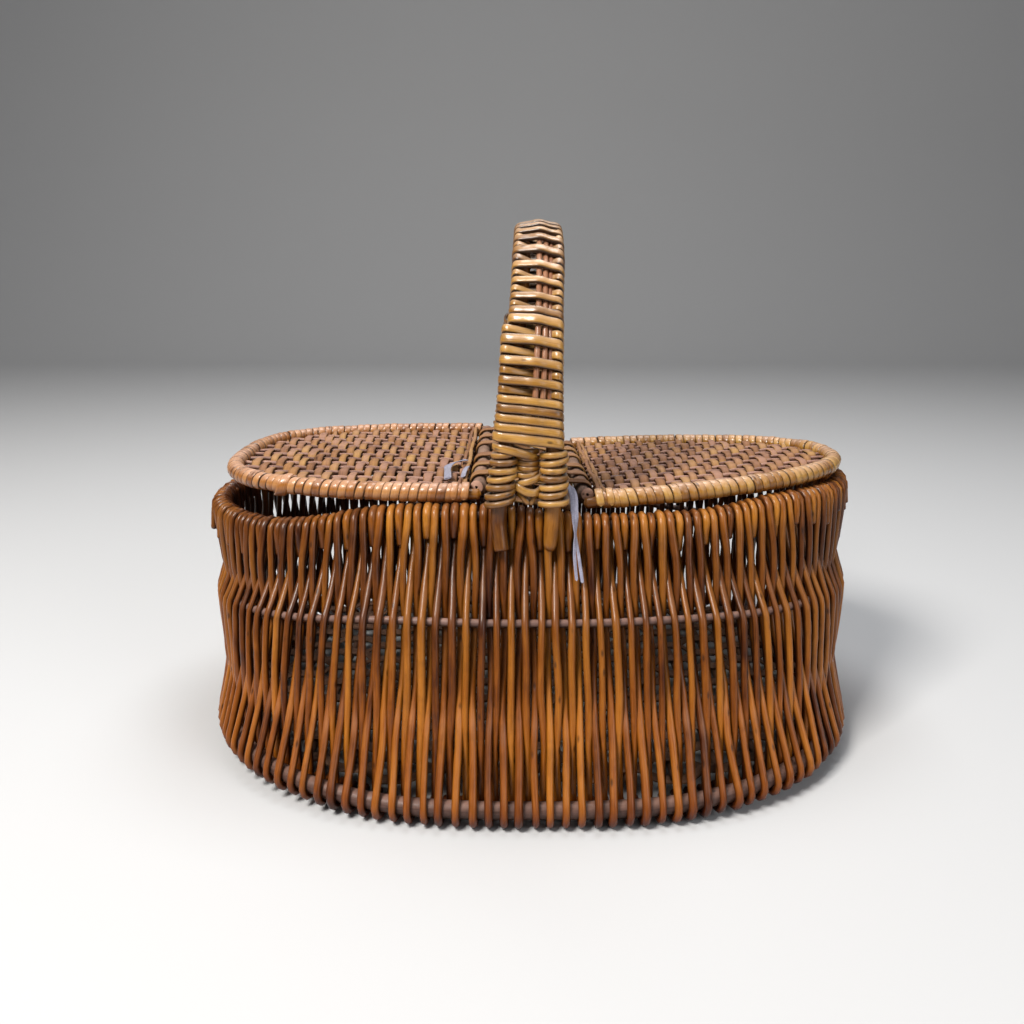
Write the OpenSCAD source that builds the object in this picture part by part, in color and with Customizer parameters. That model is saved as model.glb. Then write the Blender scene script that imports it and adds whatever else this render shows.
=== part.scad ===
// Oval wicker hand basket with two hinged lids and a fixed arched handle.
// X runs along the basket, Y from front to back and Z up, in millimetres.
// The origin is on the ground under the middle of the basket.

/* [Wall] */
// Length of the rim hoop between its centre lines
rim_l = 400; // [360:5:440]
// Depth of the rim hoop between its centre lines
rim_w = 208; // [196:2:224]
// Length of the middle hoop
mid_l = 386; // [372:2:400]
// Depth of the middle hoop
mid_w = 254; // [244:2:264]
// Length of the bottom hoop
base_l = 370; // [350:2:384]
// Depth of the bottom hoop
base_w = 314; // [300:2:326]
// Height of the rim hoop above the bottom hoop
rim_rise = 130; // [120:1:150]
// Height of the middle hoop above the bottom hoop
mid_rise = 80; // [70:1:88]
// Squareness of the rim's plan, where 2 is an ellipse
rim_bend = 2.2; // [2:0.1:2.6]
// Squareness of the bottom hoop's plan
base_bend = 2.6; // [2:0.1:3]

/* [Sag] */
// How far the rim falls at its left end
rim_fall_left = 13; // [0:1:16]
// How far the rim falls at its right end
rim_fall_right = 0; // [0:1:10]
// How far the middle hoop falls at its left end
mid_fall_left = 10; // [0:1:14]
// How far the middle hoop falls at its right end
mid_fall_right = 4; // [0:1:14]
// How far the bottom hoop rises at both ends
base_lift = 5; // [2:1:8]
// Depth of the dip in the front of the rim, left of the handle
front_left_dip = 6.5; // [0:0.5:7]
// Depth of the dip in the front of the rim, right of the handle
front_right_dip = 5.4; // [4:0.2:6]
// Depth of the dip in the back of the rim, right of the handle
back_dip = 12; // [11.5:0.5:13]

/* [Rods] */
// Radius of the rim hoop
rim_r = 2.6; // [2:0.1:3]
// Radius of the middle hoop
mid_r = 2.1; // [1.5:0.1:2.5]
// Radius of the bottom hoop
base_r = 4.4; // [3.5:0.1:5]
// Thickness of a willow stake
stake_t = 3.2; // [2.4:0.1:3.3]
// Stakes in each of the two woven families, four equal sides
stakes = 136; // [120:4:136]
// Length of a stake's tail under the base
tail_l = 20; // [10:1:26]
// Length of a stake's stub below the rim
stub_l = 8; // [4:1:9]

/* [Base] */
// Radius of a base stick
stick_r = 2; // [1.5:0.1:2.5]
// Distance between base sticks
stick_pitch = 24; // [20:1:30]
// Width of a base strip
base_strip_w = 9; // [7:0.5:10]
// Distance between base strips
base_strip_pitch = 11; // [10.5:0.5:14]

/* [Lids] */
// Distance from the middle of the basket to a lid's hinge line
hinge_x = 30; // [29:0.5:34]
// Distance from the middle of the basket to the end of the left lid's border
left_lid_end = 195; // [180:1:200]
// Distance from the middle of the basket to the end of the right lid's border
right_lid_end = 200; // [185:1:201]
// Depth of a lid between the centre lines of its border
lid_w = 198; // [186:2:200]
// Squareness of the left lid's plan
left_lid_bend = 3.2; // [2.2:0.1:3.4]
// Squareness of the right lid's plan
right_lid_bend = 2.2; // [2:0.1:2.4]
// Radius of a lid's border rod
border_r = 3.2; // [2.6:0.1:3.5]
// Thickness of the cane wrapped round the border
wrap_t = 1.7; // [1:0.1:1.8]
// Radius of a hinge bar
hinge_r = 4.6; // [3.8:0.1:4.8]
// Radius of a lid rib
rib_r = 1.3; // [1:0.1:1.6]
// Distance between lid ribs
rib_pitch = 13; // [11:0.5:14]
// Width of a woven lid strip
strip_w = 5; // [4:0.5:6]
// Distance between woven lid strips
strip_pitch = 7.4; // [6.5:0.1:9]
// Thickness of a woven strip
strip_t = 1; // [0.8:0.1:1.3]
// How far the left lid stands up on its hinge when shut
left_lid_warp = 0.5; // [0:0.5:4]
// How far the right lid stands up on its hinge when shut
right_lid_warp = 3.2; // [3.2:0.2:5]
// Width of a hinge loop
loop_w = 6; // [4:0.5:7]
// Thickness of the cane in a hinge loop or a bridge binding
loop_t = 1.2; // [0.8:0.1:1.4]
// Radius of a bridge bar between the lids
bridge_r = 5; // [4:0.1:5]

/* [Handle] */
// Height of the handle's bows above the rim hoop
handle_rise = 159; // [135:1:175]
// Radius of a handle bow
bow_r = 4.6; // [4:0.1:5]
// Distance between the bows at the rim
bow_gap_foot = 29; // [25:0.5:30]
// Distance between the bows at the top
bow_gap_top = 18.8; // [17:0.2:22]
// Sideways place of the handle's foot
foot_x = -4.3; // [-5:0.1:-3]
// Sideways place of the handle's top
top_x = 6; // [-4:0.5:6]
// Squareness of the handle's arch
arch_bend = 2.3; // [2:0.1:2.6]
// Length of a bow's peg below the rim hoop
peg_l = 16; // [10:1:24]
// Radius of a centre rod of the handle
core_r = 1.8; // [1.4:0.1:2]
// Height of the centre rods above the bows
core_raise = 5.2; // [4:0.2:6]
// Thickness of the lapping round the handle
lapping_t = 3; // [2:0.1:3.2]
// Turns of the lapping
lapping_turns = 24; // [16:1:24]
// Thickness of the cane round each leg
leg_cane_t = 3.5; // [3:0.1:3.6]
// Turns of cane round each leg
leg_turns = 6; // [4:1:7]

/* [Tape] */
// Width of the grey tape
tape_w = 4.4; // [3.6:0.2:5]

/* [Hidden] */
$fn = 32;

// Clearance between pieces that lie against each other
gap = 0.3;
// Distance from a hoop's centre line to the centre line of a stake bent round it
rim_turn = rim_r + gap + stake_t / 2;
mid_turn = mid_r + gap + stake_t / 2;
base_turn = base_r + gap + stake_t / 2;
base_z = base_turn + stake_t / 2;
rim_z = base_z + rim_rise;
mid_z = base_z + mid_rise;

// A dip in the rim is its side, place along it, depth and half lengths to its left and right.
// The power tells how flat its bottom is
DIPS = [[-1, -0.35 * rim_l, front_left_dip, 45, 45, 2],
  [-1, 0.155 * rim_l, front_right_dip, 62, 62, 4],
  [1, 0.055 * rim_l, back_dip, 45, 122, 2]];

// A hoop is its half length, half depth, squareness, height, falls at both ends and dips
RIM = [rim_l / 2, rim_w / 2, rim_bend, rim_z, rim_fall_left, rim_fall_right, DIPS];
MID = [mid_l / 2, mid_w / 2, (rim_bend + base_bend) / 2, mid_z, mid_fall_left, mid_fall_right, []];
BASE = [base_l / 2, base_w / 2, base_bend, base_z, -base_lift, -base_lift, []];

function unit(v) = v / norm(v);
function ease(t) = let (s = max(0, min(1, t))) s * s * (3 - 2 * s);
function bent(v, bend) = sign(v) * pow(abs(v), 2 / bend);
function angle_of(v) = atan2(v[1], v[0]);

// Point of an oval at an angle seen from its middle
function oval_point(a, b, bend, t) =
  [cos(t), sin(t)] / pow(pow(abs(cos(t)) / a, bend) + pow(abs(sin(t)) / b, bend), 1 / bend);
function plan(h, t) = oval_point(h[0], h[1], h[2], t);

// Angles against the share of the way round, so that stakes stand evenly
PLAN_STEPS = 180;
function way_round(h) =
  let (
    angles = [for (i = [0 : PLAN_STEPS]) i * 360 / PLAN_STEPS],
    parts = [for (i = [1 : PLAN_STEPS]) norm(plan(h, angles[i]) - plan(h, angles[i - 1]))],
    sums = [for (i = 0, s = 0; i <= PLAN_STEPS; s = s + (i < PLAN_STEPS ? parts[i] : 0), i = i + 1) s]
  ) [for (i = [0 : PLAN_STEPS]) [sums[i] / sums[PLAN_STEPS], angles[i]]];
RIM_WAY = way_round(RIM);
MID_WAY = way_round(MID);
BASE_WAY = way_round(BASE);

// Depth of a hoop's dips at a place in its plan
function dip(h, p, i = 0) =
  i == len(h[6]) ? 0 :
  let (
    d = h[6][i],
    far = abs(p[0] - d[1]) / (p[0] < d[1] ? d[3] : d[4])
  ) d[2] * ease(d[0] * p[1] / 50) * exp(-pow(far, d[5])) + dip(h, p, i + 1);
// Height of a hoop at a place in its plan
function hoop_z(h, p) =
  let (
    reach = ease((abs(p[0]) - 0.3 * h[0]) / (0.7 * h[0])),
    fall = p[0] < 0 ? h[4] : h[5]
  ) h[3] - fall * reach - dip(h, p);
function hoop_point(h, way, share) =
  let (p = plan(h, lookup(share, way))) [p[0], p[1], hoop_z(h, p)];
function hoop_normal(h, way, share) =
  let (
    t = lookup(share, way),
    d = plan(h, t + 1) - plan(h, t - 1)
  ) unit([d[1], -d[0], 0]);

// Ring of points of a given shape, standing square to the way it is swept
function ring_at(centre, across, up, shape) = [for (p = shape) centre + p[0] * across + p[1] * up];
function disc(r, sides) = [for (j = [0 : sides - 1]) r * [cos(j * 360 / sides), sin(j * 360 / sides)]];
function flat(a, b) = [[a, b], [-a, b], [-a, -b], [a, -b]];

// Rings of a shape swept along a path, turned about a direction that the path never takes
function swept(path, shape, turned) =
  let (last = len(path) - 1)
  [for (i = [0 : last])
    let (
      way = unit(path[min(i + 1, last)] - path[max(i - 1, 0)]),
      across = unit(cross(turned, way))
    ) ring_at(path[i], across, cross(way, across), shape)];

// Triangles between one ring and the next
function wall(n, m, loop, first, inside) =
  [for (i = [0 : loop ? n - 1 : n - 2], j = [0 : m - 1])
    let (
      a = first + i * m + j,
      b = first + ((i + 1) % n) * m + j,
      c = first + ((i + 1) % n) * m + (j + 1) % m,
      d = first + i * m + (j + 1) % m
    ) each inside ? [[a, c, b], [a, d, c]] : [[a, b, c], [a, c, d]]];

// Closed skin over rings, either capped at both ends or joined end to end
module skin(rings, loop = false) {
  n = len(rings);
  m = len(rings[0]);
  caps = loop ? [] : [[for (j = [0 : m - 1]) j], [for (j = [m - 1 : -1 : 0]) (n - 1) * m + j]];
  polyhedron([for (r = rings) each r], concat(wall(n, m, loop, 0, false), caps), convexity = 10);
}

// Tube with a bore, between an outer and an inner set of rings
module sleeve(outer, inner) {
  n = len(outer);
  m = len(outer[0]);
  second = n * m;
  ends = [for (j = [0 : m - 1])
    let (k = (j + 1) % m, e = (n - 1) * m)
    each [[j, k, second + k], [j, second + k, second + j],
      [e + j, second + e + k, e + k], [e + j, second + e + j, second + e + k]]];
  points = concat([for (r = outer) each r], [for (r = inner) each r]);
  polyhedron(points, concat(wall(n, m, false, 0, false), wall(n, m, false, second, true), ends),
    convexity = 10);
}

// Outline of a strip of even thickness along a plane path
function strip_outline(path, half) =
  let (
    last = len(path) - 1,
    sides = [for (i = [0 : last])
      let (
        a = unit(path[min(i + 1, last)] - path[min(i, last - 1)]),
        b = unit(path[max(i, 1)] - path[max(i - 1, 0)]),
        n = unit([-a[1] - b[1], a[0] + b[0]])
      ) n * half / (n * [-a[1], a[0]])]
  ) concat([for (i = [0 : last]) path[i] + sides[i]], [for (i = [last : -1 : 0]) path[i] - sides[i]]);

// Unit normal of the line that crosses between two circles, on the given side of the first
function cross_normal(c1, r1, c2, r2, side) =
  let (
    span = c2 - c1,
    e = unit(span),
    s = (r1 + r2) / norm(span)
  ) s * e + sqrt(1 - s * s) * side * [-e[1], e[0]];
// Corners of the straight lines that touch a circle one after the other between two angles
function bend(c, r, from, to, corners) =
  let (step = (to - from) / corners)
  [for (i = [0 : corners - 1])
    let (t = from + (i + 0.5) * step) c + r / cos(step / 2) * [cos(t), sin(t)]];
// Corner of two lines that touch a circle, with these normals
function corner(c, r, n1, n2) = let (m = unit(n1 + n2)) c + r / (m * n1) * m;

// Path of an outer stake in its own plane: over the rim from inside, down outside it,
// inside the middle hoop, outside the bottom hoop and in under the base
function outer_path(c) =
  let (
    n1 = cross_normal(c[0], rim_turn, c[1], mid_turn, 1),
    n2 = cross_normal(c[1], mid_turn, c[2], base_turn, -1),
    head = 175,
    low = angle_of(-n2)
  ) concat(
    [c[0] + rim_turn * [cos(head), sin(head)]],
    bend(c[0], rim_turn, head, angle_of(n1), 4),
    [corner(c[1], mid_turn, -n1, n2)],
    bend(c[2], base_turn, low, -90, 2),
    [c[2] + [-tail_l, -base_turn]]);

// Path of an inner stake: inside the rim, outside the middle hoop, inside the bottom hoop.
// Every second one is turned over the rim into a short stub, the shorter the lower the rim is there
function inner_path(c, stub) =
  let (
    n1 = cross_normal(c[0], rim_turn, c[1], mid_turn, -1),
    n2 = cross_normal(c[1], mid_turn, c[2], base_turn, 1),
    top = (angle_of(n1) + 360) % 360,
    low = (angle_of(-n2) + 360) % 360,
    foot = 200,
    end = [rim_turn, stub_l * c[1][1] / (rim_rise - mid_rise)]
  ) concat(
    stub ? concat([c[0] + end], bend(c[0], rim_turn, 0, top, 4)) : [c[0] + rim_turn * n1],
    [corner(c[1], mid_turn, -n1, n2)],
    bend(c[2], base_turn, low, foot, 1),
    [c[2] + base_turn * [cos(foot), sin(foot)]]);

// One stake, extruded in the plane that its three hoops give it
module stake(share, outer, stub) {
  top = hoop_point(RIM, RIM_WAY, share);
  mid = hoop_point(MID, MID_WAY, share);
  low = hoop_point(BASE, BASE_WAY, share);
  out = unit(hoop_normal(RIM, RIM_WAY, share) + hoop_normal(BASE, BASE_WAY, share));
  fall = low - top;
  up = -unit(fall - (fall * out) * out);
  side = cross(out, up);
  centres = [for (p = [top, mid, low]) [(p - top) * out, (p - top) * up]];
  path = outer ? outer_path(centres) : inner_path(centres, stub);
  multmatrix([[out[0], up[0], side[0], top[0]],
              [out[1], up[1], side[1], top[1]],
              [out[2], up[2], side[2], top[2]],
              [0, 0, 0, 1]])
    linear_extrude(height = stake_t, center = true) polygon(strip_outline(path, stake_t / 2));
}

// A quarter of the stakes of one family, from an eighth of the way before to an eighth after
module stake_side(quarter, outer) {
  each_side = stakes / 4;
  first = quarter * each_side - floor(each_side / 2);
  for (i = [0 : each_side - 1]) {
    k = first + i + (outer ? 0 : 0.5);
    stake((k / stakes + 1) % 1, outer, (first + i) % 2 == 0);
  }
}

module hoop(h, way, r, steps, sides) {
  skin([for (i = [0 : steps - 1])
    ring_at(hoop_point(h, way, i / steps), -hoop_normal(h, way, i / steps), [0, 0, 1], disc(r, sides))],
    loop = true);
}
module top_hoop() {
  color("saddlebrown") hoop(RIM, RIM_WAY, rim_r, 88, 6);
}
module middle_hoop() {
  color("rosybrown") hoop(MID, MID_WAY, mid_r, 72, 6);
}
module bottom_hoop() {
  color("rosybrown") hoop(BASE, BASE_WAY, base_r, 80, 6);
}
module outer_stakes(quarter) {
  color("peru") stake_side(quarter, true);
}
module inner_stakes(quarter) {
  color("sienna") stake_side(quarter, false);
}

// Half depth of an oval at a distance along it
function half_depth(a, b, bend, x) = b * pow(max(0, 1 - pow(abs(x) / a, bend)), 1 / bend);
function half_length(a, b, bend, y) = half_depth(b, a, bend, y);

// Height of a woven strip above its ribs' centre line: over one rib and under the next,
// flat for a share of the pitch at each rib
function wave(pitch, count, rise, start, level) =
  [for (k = [-count : count], s = level > 0 ? [-level, level] : [0])
    [(k + s) * pitch, (k + start) % 2 == 0 ? rise : -rise]];
function wave_path(table, from, to) =
  concat([[from, lookup(from, table)]],
    [for (p = table) if (p[0] > from + 0.2 && p[0] < to - 0.2) p],
    [[to, lookup(to, table)]]);

// A strip woven through ribs, lying along Y at the middle of its width
module woven_strip(table, from, to, width, thickness) {
  rotate([90, 0, 90])
    linear_extrude(height = width, center = true)
      polygon(strip_outline(wave_path(table, from, to), thickness / 2));
}

// The base lies on the stakes' tails, inside the ends of the inner stakes
base_strip_t = 1.2;
base_edge = base_turn + stake_t / 2 + 2 * gap;
base_a = BASE[0] - base_edge;
base_b = BASE[1] - base_edge;
base_floor = stake_t + base_lift + gap;
stick_z = base_floor + base_strip_t + gap + stick_r;
base_wave = stick_r + gap + base_strip_t / 2;
stick_count = floor((base_a - 2 * stick_r) / stick_pitch);
base_strip_count = floor((base_b - base_strip_w) / base_strip_pitch);
module base_sticks() {
  color("burlywood") for (k = [-stick_count : stick_count]) {
    half = half_depth(base_a, base_b, base_bend, abs(k * stick_pitch) + stick_r);
    translate([k * stick_pitch, -half, stick_z]) rotate([-90, 0, 0]) cylinder(h = 2 * half, r = stick_r);
  }
}
module base_strips() {
  color("tan") for (k = [-base_strip_count : base_strip_count]) {
    y = k * base_strip_pitch;
    half = half_length(base_a, base_b, base_bend, abs(y) + base_strip_w / 2);
    table = wave(stick_pitch, stick_count + 1, base_wave, k, 0);
    translate([0, y, stick_z]) rotate(-90) woven_strip(table, -half, half, base_strip_w, base_strip_t);
  }
}

// The bridge's bars lie across the rim, the left one level and the right one down in the rim's dips.
// A hinge bar lies in the same plane as its bridge bar
wrapped_r = border_r + gap + wrap_t;
rim_top = rim_z + rim_turn + stake_t / 2;
bridge_x = hinge_x - hinge_r - 2 * gap - loop_t - bridge_r;
bridge_half = rim_w / 2 + 1;
lid_z = rim_top + gap + bridge_r;
function right_rest(side) = lid_z + gap - dip(RIM, [bridge_x, side * bridge_half]);
right_z = (right_rest(-1) + right_rest(1)) / 2;
right_tilt = atan((right_rest(-1) - right_rest(1)) / (2 * bridge_half));

// A lid is the distance to its end, its half depth and its squareness
LEFT_LID = [left_lid_end, lid_w / 2, left_lid_bend];
RIGHT_LID = [right_lid_end, lid_w / 2, right_lid_bend];
LID_STEPS = 28;
lid_end_x = hinge_x - hinge_r;
// Angle at which a lid's border reaches its cut end
function lid_end_t(lid) = atan2(half_depth(lid[0], lid[1], lid[2], lid_end_x), lid_end_x);
function lid_border_path(lid) =
  [for (i = [0 : LID_STEPS])
    let (p = oval_point(lid[0], lid[1], lid[2], lid_end_t(lid) * (2 * i / LID_STEPS - 1))) [p[0], p[1], 0]];

// Puts what is drawn on the right, at the height of the hinge bar, in its place on one side
module hinge_place(side) {
  if (side < 0)
    translate([0, 0, lid_z]) mirror([1, 0, 0]) children();
  else
    translate([0, 0, right_z]) rotate([-right_tilt, 0, 0]) children();
}
module lid_place(side) {
  hinge_place(side)
    translate([hinge_x, 0, 0])
      rotate([0, side < 0 ? -left_lid_warp : -right_lid_warp, 0])
        translate([-hinge_x, 0, 0]) children();
}
module lid_border(lid) {
  color("saddlebrown") skin(swept(lid_border_path(lid), disc(border_r, 6), [0, 0, 1]));
}
module lid_wrap(lid) {
  path = [for (i = [1 : LID_STEPS - 1]) lid_border_path(lid)[i]];
  color("goldenrod")
    sleeve(swept(path, disc(wrapped_r, 6), [0, 0, 1]), swept(path, disc(border_r + gap, 6), [0, 0, 1]));
}
module lid_hinge_bar(lid) {
  half = half_depth(lid[0], lid[1], lid[2], hinge_x) - wrapped_r - gap;
  color("darkgoldenrod")
    translate([hinge_x, -half, 0]) rotate([-90, 0, 0]) cylinder(h = 2 * half, r = hinge_r);
}
lid_edge_in = wrapped_r + 2 * gap;
rib_count = floor((lid_w / 2 - lid_edge_in - 2 * rib_r) / rib_pitch);
module lid_ribs(lid) {
  start = hinge_x + hinge_r + gap;
  color("saddlebrown") for (k = [-rib_count : rib_count]) {
    end = half_length(lid[0] - lid_edge_in, lid[1] - lid_edge_in, lid[2], abs(k * rib_pitch) + rib_r);
    translate([start, k * rib_pitch, 0]) rotate([0, 90, 0]) cylinder(h = end - start, r = rib_r);
  }
}
strip_wave = rib_r + gap + strip_t / 2;
first_strip_x = hinge_x + hinge_r + gap + loop_t + 2 * gap + strip_w / 2;
module lid_strips(lid) {
  count = floor((lid[0] - lid_edge_in - first_strip_x - strip_w) / strip_pitch);
  color("tan") for (k = [0 : count]) {
    x = first_strip_x + k * strip_pitch;
    half = half_depth(lid[0] - lid_edge_in, lid[1] - lid_edge_in, lid[2], x + strip_w / 2);
    translate([x, 0, 0])
      woven_strip(wave(rib_pitch, rib_count + 2, strip_wave, k, 0.22), -half, half, strip_w, strip_t);
  }
}

// The bridge is fixed across the rim between the lids, and carries the hinge loops
// Loops and bindings stand by turns, and loops stand between two ribs
loop_places = [-5.5, -3.5, -1.5, 1.5, 3.5, 5.5];
binding_places = [-6.5, -4.5, -2.5, 0, 2.5, 4.5, 6.5];
module bridge_bars() {
  color("darkgoldenrod") for (side = [-1, 1])
    hinge_place(side)
      translate([bridge_x, -bridge_half, 0]) rotate([-90, 0, 0]) cylinder(h = 2 * bridge_half, r = bridge_r);
}

// Flat band round two bars, each a place and a radius, with room for them to turn
module band_outline(p1, r1, p2, r2, grow) {
  n = unit([p1[1] - p2[1], p2[0] - p1[0]]);
  a = (r1 + grow) * n;
  b = (r2 + grow) * n;
  translate(p1) circle(r = r1 + grow);
  translate(p2) circle(r = r2 + grow);
  polygon([p1 + a, p2 + b, p2 - b, p1 - a]);
}
module band(p1, r1, p2, r2, width) {
  rotate([90, 0, 0]) linear_extrude(height = width, center = true) difference() {
    band_outline(p1, r1, p2, r2, gap + loop_t);
    band_outline(p1, r1, p2, r2, gap);
  }
}
module bridge_binding() {
  color("tan") for (k = binding_places)
    translate([0, k * rib_pitch, 0])
      band([-bridge_x, lid_z], bridge_r, [bridge_x, right_z - k * rib_pitch * tan(right_tilt)], bridge_r,
        loop_w + 2);
}
module hinge_loops(side) {
  color("goldenrod") hinge_place(side)
    for (k = loop_places)
      translate([0, k * rib_pitch, 0]) band([bridge_x, 0], bridge_r, [hinge_x, 0], hinge_r, loop_w);
}

// The handle's bows stand outside the stakes at the rim and arch over it
leg_cane_r = leg_cane_t / 2;
wrapped_leg_r = bow_r + gap + leg_cane_t;
arch_b = rim_w / 2 + rim_turn + stake_t / 2 + gap + bow_r + 0.5;
// How far the front of the wall comes out for each millimetre down from the rim
wall_lean = ((mid_w - rim_w) / 2 - mid_turn - rim_turn) / (rim_rise - mid_rise) + 0.02;
function handle_x(z) = foot_x + (top_x - foot_x) * (z - rim_z) / handle_rise;
function bow_spread(z) =
  bow_gap_top / 2 + (bow_gap_foot - bow_gap_top) / 2 * pow(1 - ease((z - rim_z) / handle_rise), 2);
// Point of the arch in the plane of Y and Z, with the way out from under it
function arch_point(t) = oval_point(arch_b, handle_rise, arch_bend, 180 - t) + [0, rim_z];
function arch_way(t) = unit(arch_point(min(t + 1, 180)) - arch_point(max(t - 1, 0)));
function arch_out(t) = let (w = arch_way(t)) [-w[1], w[0]];

// A rod along the arch, between two angles, raised out of it and set to one side
function arch_rod(from, to, steps, raise, aside) =
  [for (i = [0 : steps])
    let (
      t = from + (to - from) * i / steps,
      p = arch_point(t) + raise * arch_out(t)
    ) [handle_x(arch_point(t)[1]) + aside * bow_spread(arch_point(t)[1]), p[0], p[1]]];
module bow(side) {
  ends = [for (y = [-1, 1]) [foot_x + side * bow_gap_foot / 2, y * (arch_b + peg_l * wall_lean), rim_z - peg_l]];
  path = concat([ends[0]], arch_rod(0, 180, 30, 0, side), [ends[1]]);
  color("peru") skin(swept(path, disc(bow_r, 8), [1, 0, 0]));
}
// Angles along the arch between which the lapping runs over both bows
lap_from = 20;
lap_to = 180 - lap_from;
module handle_core_rods() {
  for (k = [-1 : 1])
    color("rosybrown")
      skin(swept(arch_rod(lap_from - 1, lap_to + 1, 20, core_raise - 1.2 * abs(k), k * 0.42),
        disc(core_r, 5), [1, 0, 0]));
}

// The lapping is one strip wound round bows and centre rods, close against them
lap_in = bow_r + 2 * gap + lapping_t / 2;
lap_out = core_raise + core_r + gap + lapping_t / 2;
lap_bend = 4;
LAP_STEPS = 16;
lap_total = lapping_turns * LAP_STEPS;
function lap_angle(i) = lap_from + (lap_to - lap_from) * i / lap_total;
function lap_centre(i) =
  let (
    t = lap_angle(i),
    turn = 360 * i / LAP_STEPS,
    p = arch_point(t),
    out = arch_out(t),
    wide = bow_spread(p[1]) + bow_r + 2 * gap + lapping_t / 2,
    u = wide * bent(cos(turn), lap_bend),
    v = (sin(turn) > 0 ? lap_out : lap_in) * bent(sin(turn), lap_bend)
  ) [handle_x(p[1]) + u, p[0] + v * out[0], p[1] + v * out[1]];
function lap_ring(i) =
  let (
    w = arch_way(lap_angle(i)),
    way = unit(lap_centre(min(i + 1, lap_total)) - lap_centre(max(i - 1, 0))),
    along = [0, w[0], w[1]],
    along_turn = unit(along - (along * way) * way),
    out = cross(way, along_turn)
  ) ring_at(lap_centre(i), along_turn, out, flat(lap_half_w, lapping_t / 2));
lap_length = norm(arch_point(lap_to) - arch_point(90)) + norm(arch_point(90) - arch_point(lap_from));
lap_half_w = 0.43 * lap_length / lapping_turns;
// Least distance between the points of one turn and those of the next
function least_gap(rings, steps) =
  min([for (i = [0 : len(rings) - 1 - steps], a = rings[i], b = rings[i + steps]) norm(b - a)]);
module handle_lapping() {
  rings = [for (i = [0 : lap_total]) lap_ring(i)];
  echo(str("Least gap between turns of the lapping, mm: ", least_gap(rings, LAP_STEPS)));
  color("goldenrod") skin(rings);
}

// Cane wound round one leg from just above the rim
leg_pitch = leg_cane_t + 0.5;
LEG_STEPS = 8;
leg_start = rim_top + leg_cane_r + gap;
function arch_y(z) = half_depth(handle_rise, arch_b, arch_bend, z - rim_z);
function leg_cane_point(i, side, front) =
  let (
    z = leg_start + leg_pitch * i / LEG_STEPS,
    turn = 360 * i / LEG_STEPS,
    r = bow_r + gap + leg_cane_r + 0.15
  ) [handle_x(z) + side * bow_spread(z) + r * cos(turn), front * arch_y(z) + r * sin(turn), z];
module leg_cane(side, front) {
  path = [for (i = [0 : leg_turns * LEG_STEPS]) leg_cane_point(i, side, front)];
  rings = swept(path, disc(leg_cane_r, 4), [0, 0, -1]);
  echo(str("Least gap between turns of a leg's cane, mm: ", least_gap(rings, LEG_STEPS)));
  color("goldenrod") skin(rings);
}

// Short turns of cane that cross between the legs and bind them to the rim
lash_r = 2.6;
lash_turns = 4;
function lash_z(k) = rim_top + lash_r + 1.2 + k * (2 * lash_r + 1.1);
module lashing(front) {
  half = bow_spread(lash_z(lash_turns)) - wrapped_leg_r - 3 * gap - lash_r * 0.5;
  color("darkgoldenrod") for (k = [0 : lash_turns - 1])
    translate([foot_x, front * arch_b, lash_z(k)])
      rotate([0, k % 2 == 0 ? 80 : 100, 0]) cylinder(h = 2 * half, r = lash_r, center = true);
}

// Grey tape tied to the right of the bridge, lying along it and hanging over the rim
tape_r = tape_w / 2;
tape_raise = bridge_r + 2 * gap + loop_t + tape_r;
function tape_z(y) = right_z - y * tan(right_tilt) + tape_raise;
tape_edge = -96;
tape_out = rim_w / 2 + rim_turn + stake_t / 2 + 1 + tape_r;
right_tape_route = concat(
  [for (y = [10, 0, -20, -40, -60, -80, tape_edge]) [20, y, tape_z(y)]],
  [[21, tape_edge - 9, tape_z(tape_edge) - 0.3], [22.2, tape_edge - 15, tape_z(tape_edge) - 4],
    [22.4, -tape_out - 0.5, tape_z(tape_edge) - 11], [22.6, -tape_out - 2, rim_z + 2],
    [22.8, -tape_out - 3.5, rim_z - 10], [23.5, -tape_out - 6.5, rim_z - 20],
    [24.5, -tape_out - 9, rim_z - 29]]);
left_tape_raise = strip_wave + strip_t / 2 + gap + tape_r;
left_tape_route = [[40, -36, left_tape_raise], [47, -44, left_tape_raise], [50, -56, left_tape_raise],
  [49, -70, left_tape_raise], [48, -86, left_tape_raise]];
module right_tape_tail() {
  color("slategray") skin(swept(right_tape_route, disc(tape_r, 8), [1, 0, 0]));
}
module right_tape_knot() {
  knot_l = 8;
  color("slategray") translate([20, 10 + gap, tape_z(10)]) rotate([-90, 0, 0]) cylinder(h = knot_l, r = tape_r);
}
module left_tape_tail() {
  color("slategray") lid_place(-1) skin(swept(left_tape_route, disc(tape_r, 8), [0, 0, 1]));
}

top_hoop();
middle_hoop();
bottom_hoop();
outer_stakes(0);  // outer_stakes_right
outer_stakes(1);  // outer_stakes_back
outer_stakes(2);  // outer_stakes_left
outer_stakes(3);  // outer_stakes_front
inner_stakes(0);  // inner_stakes_right
inner_stakes(1);  // inner_stakes_back
inner_stakes(2);  // inner_stakes_left
inner_stakes(3);  // inner_stakes_front
base_sticks();
base_strips();
bow(-1);  // handle_left_bow
bow(1);  // handle_right_bow
handle_core_rods();
handle_lapping();
leg_cane(-1, -1);  // front_left_leg_cane
leg_cane(1, -1);  // front_right_leg_cane
leg_cane(-1, 1);  // back_left_leg_cane
leg_cane(1, 1);  // back_right_leg_cane
lashing(-1);  // front_lashing
lashing(1);  // back_lashing
bridge_bars();
bridge_binding();
hinge_loops(-1);  // left_hinge_loops
hinge_loops(1);  // right_hinge_loops
right_tape_knot();
right_tape_tail();
left_tape_tail();
lid_place(-1) lid_border(LEFT_LID);  // left_lid_border
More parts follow.
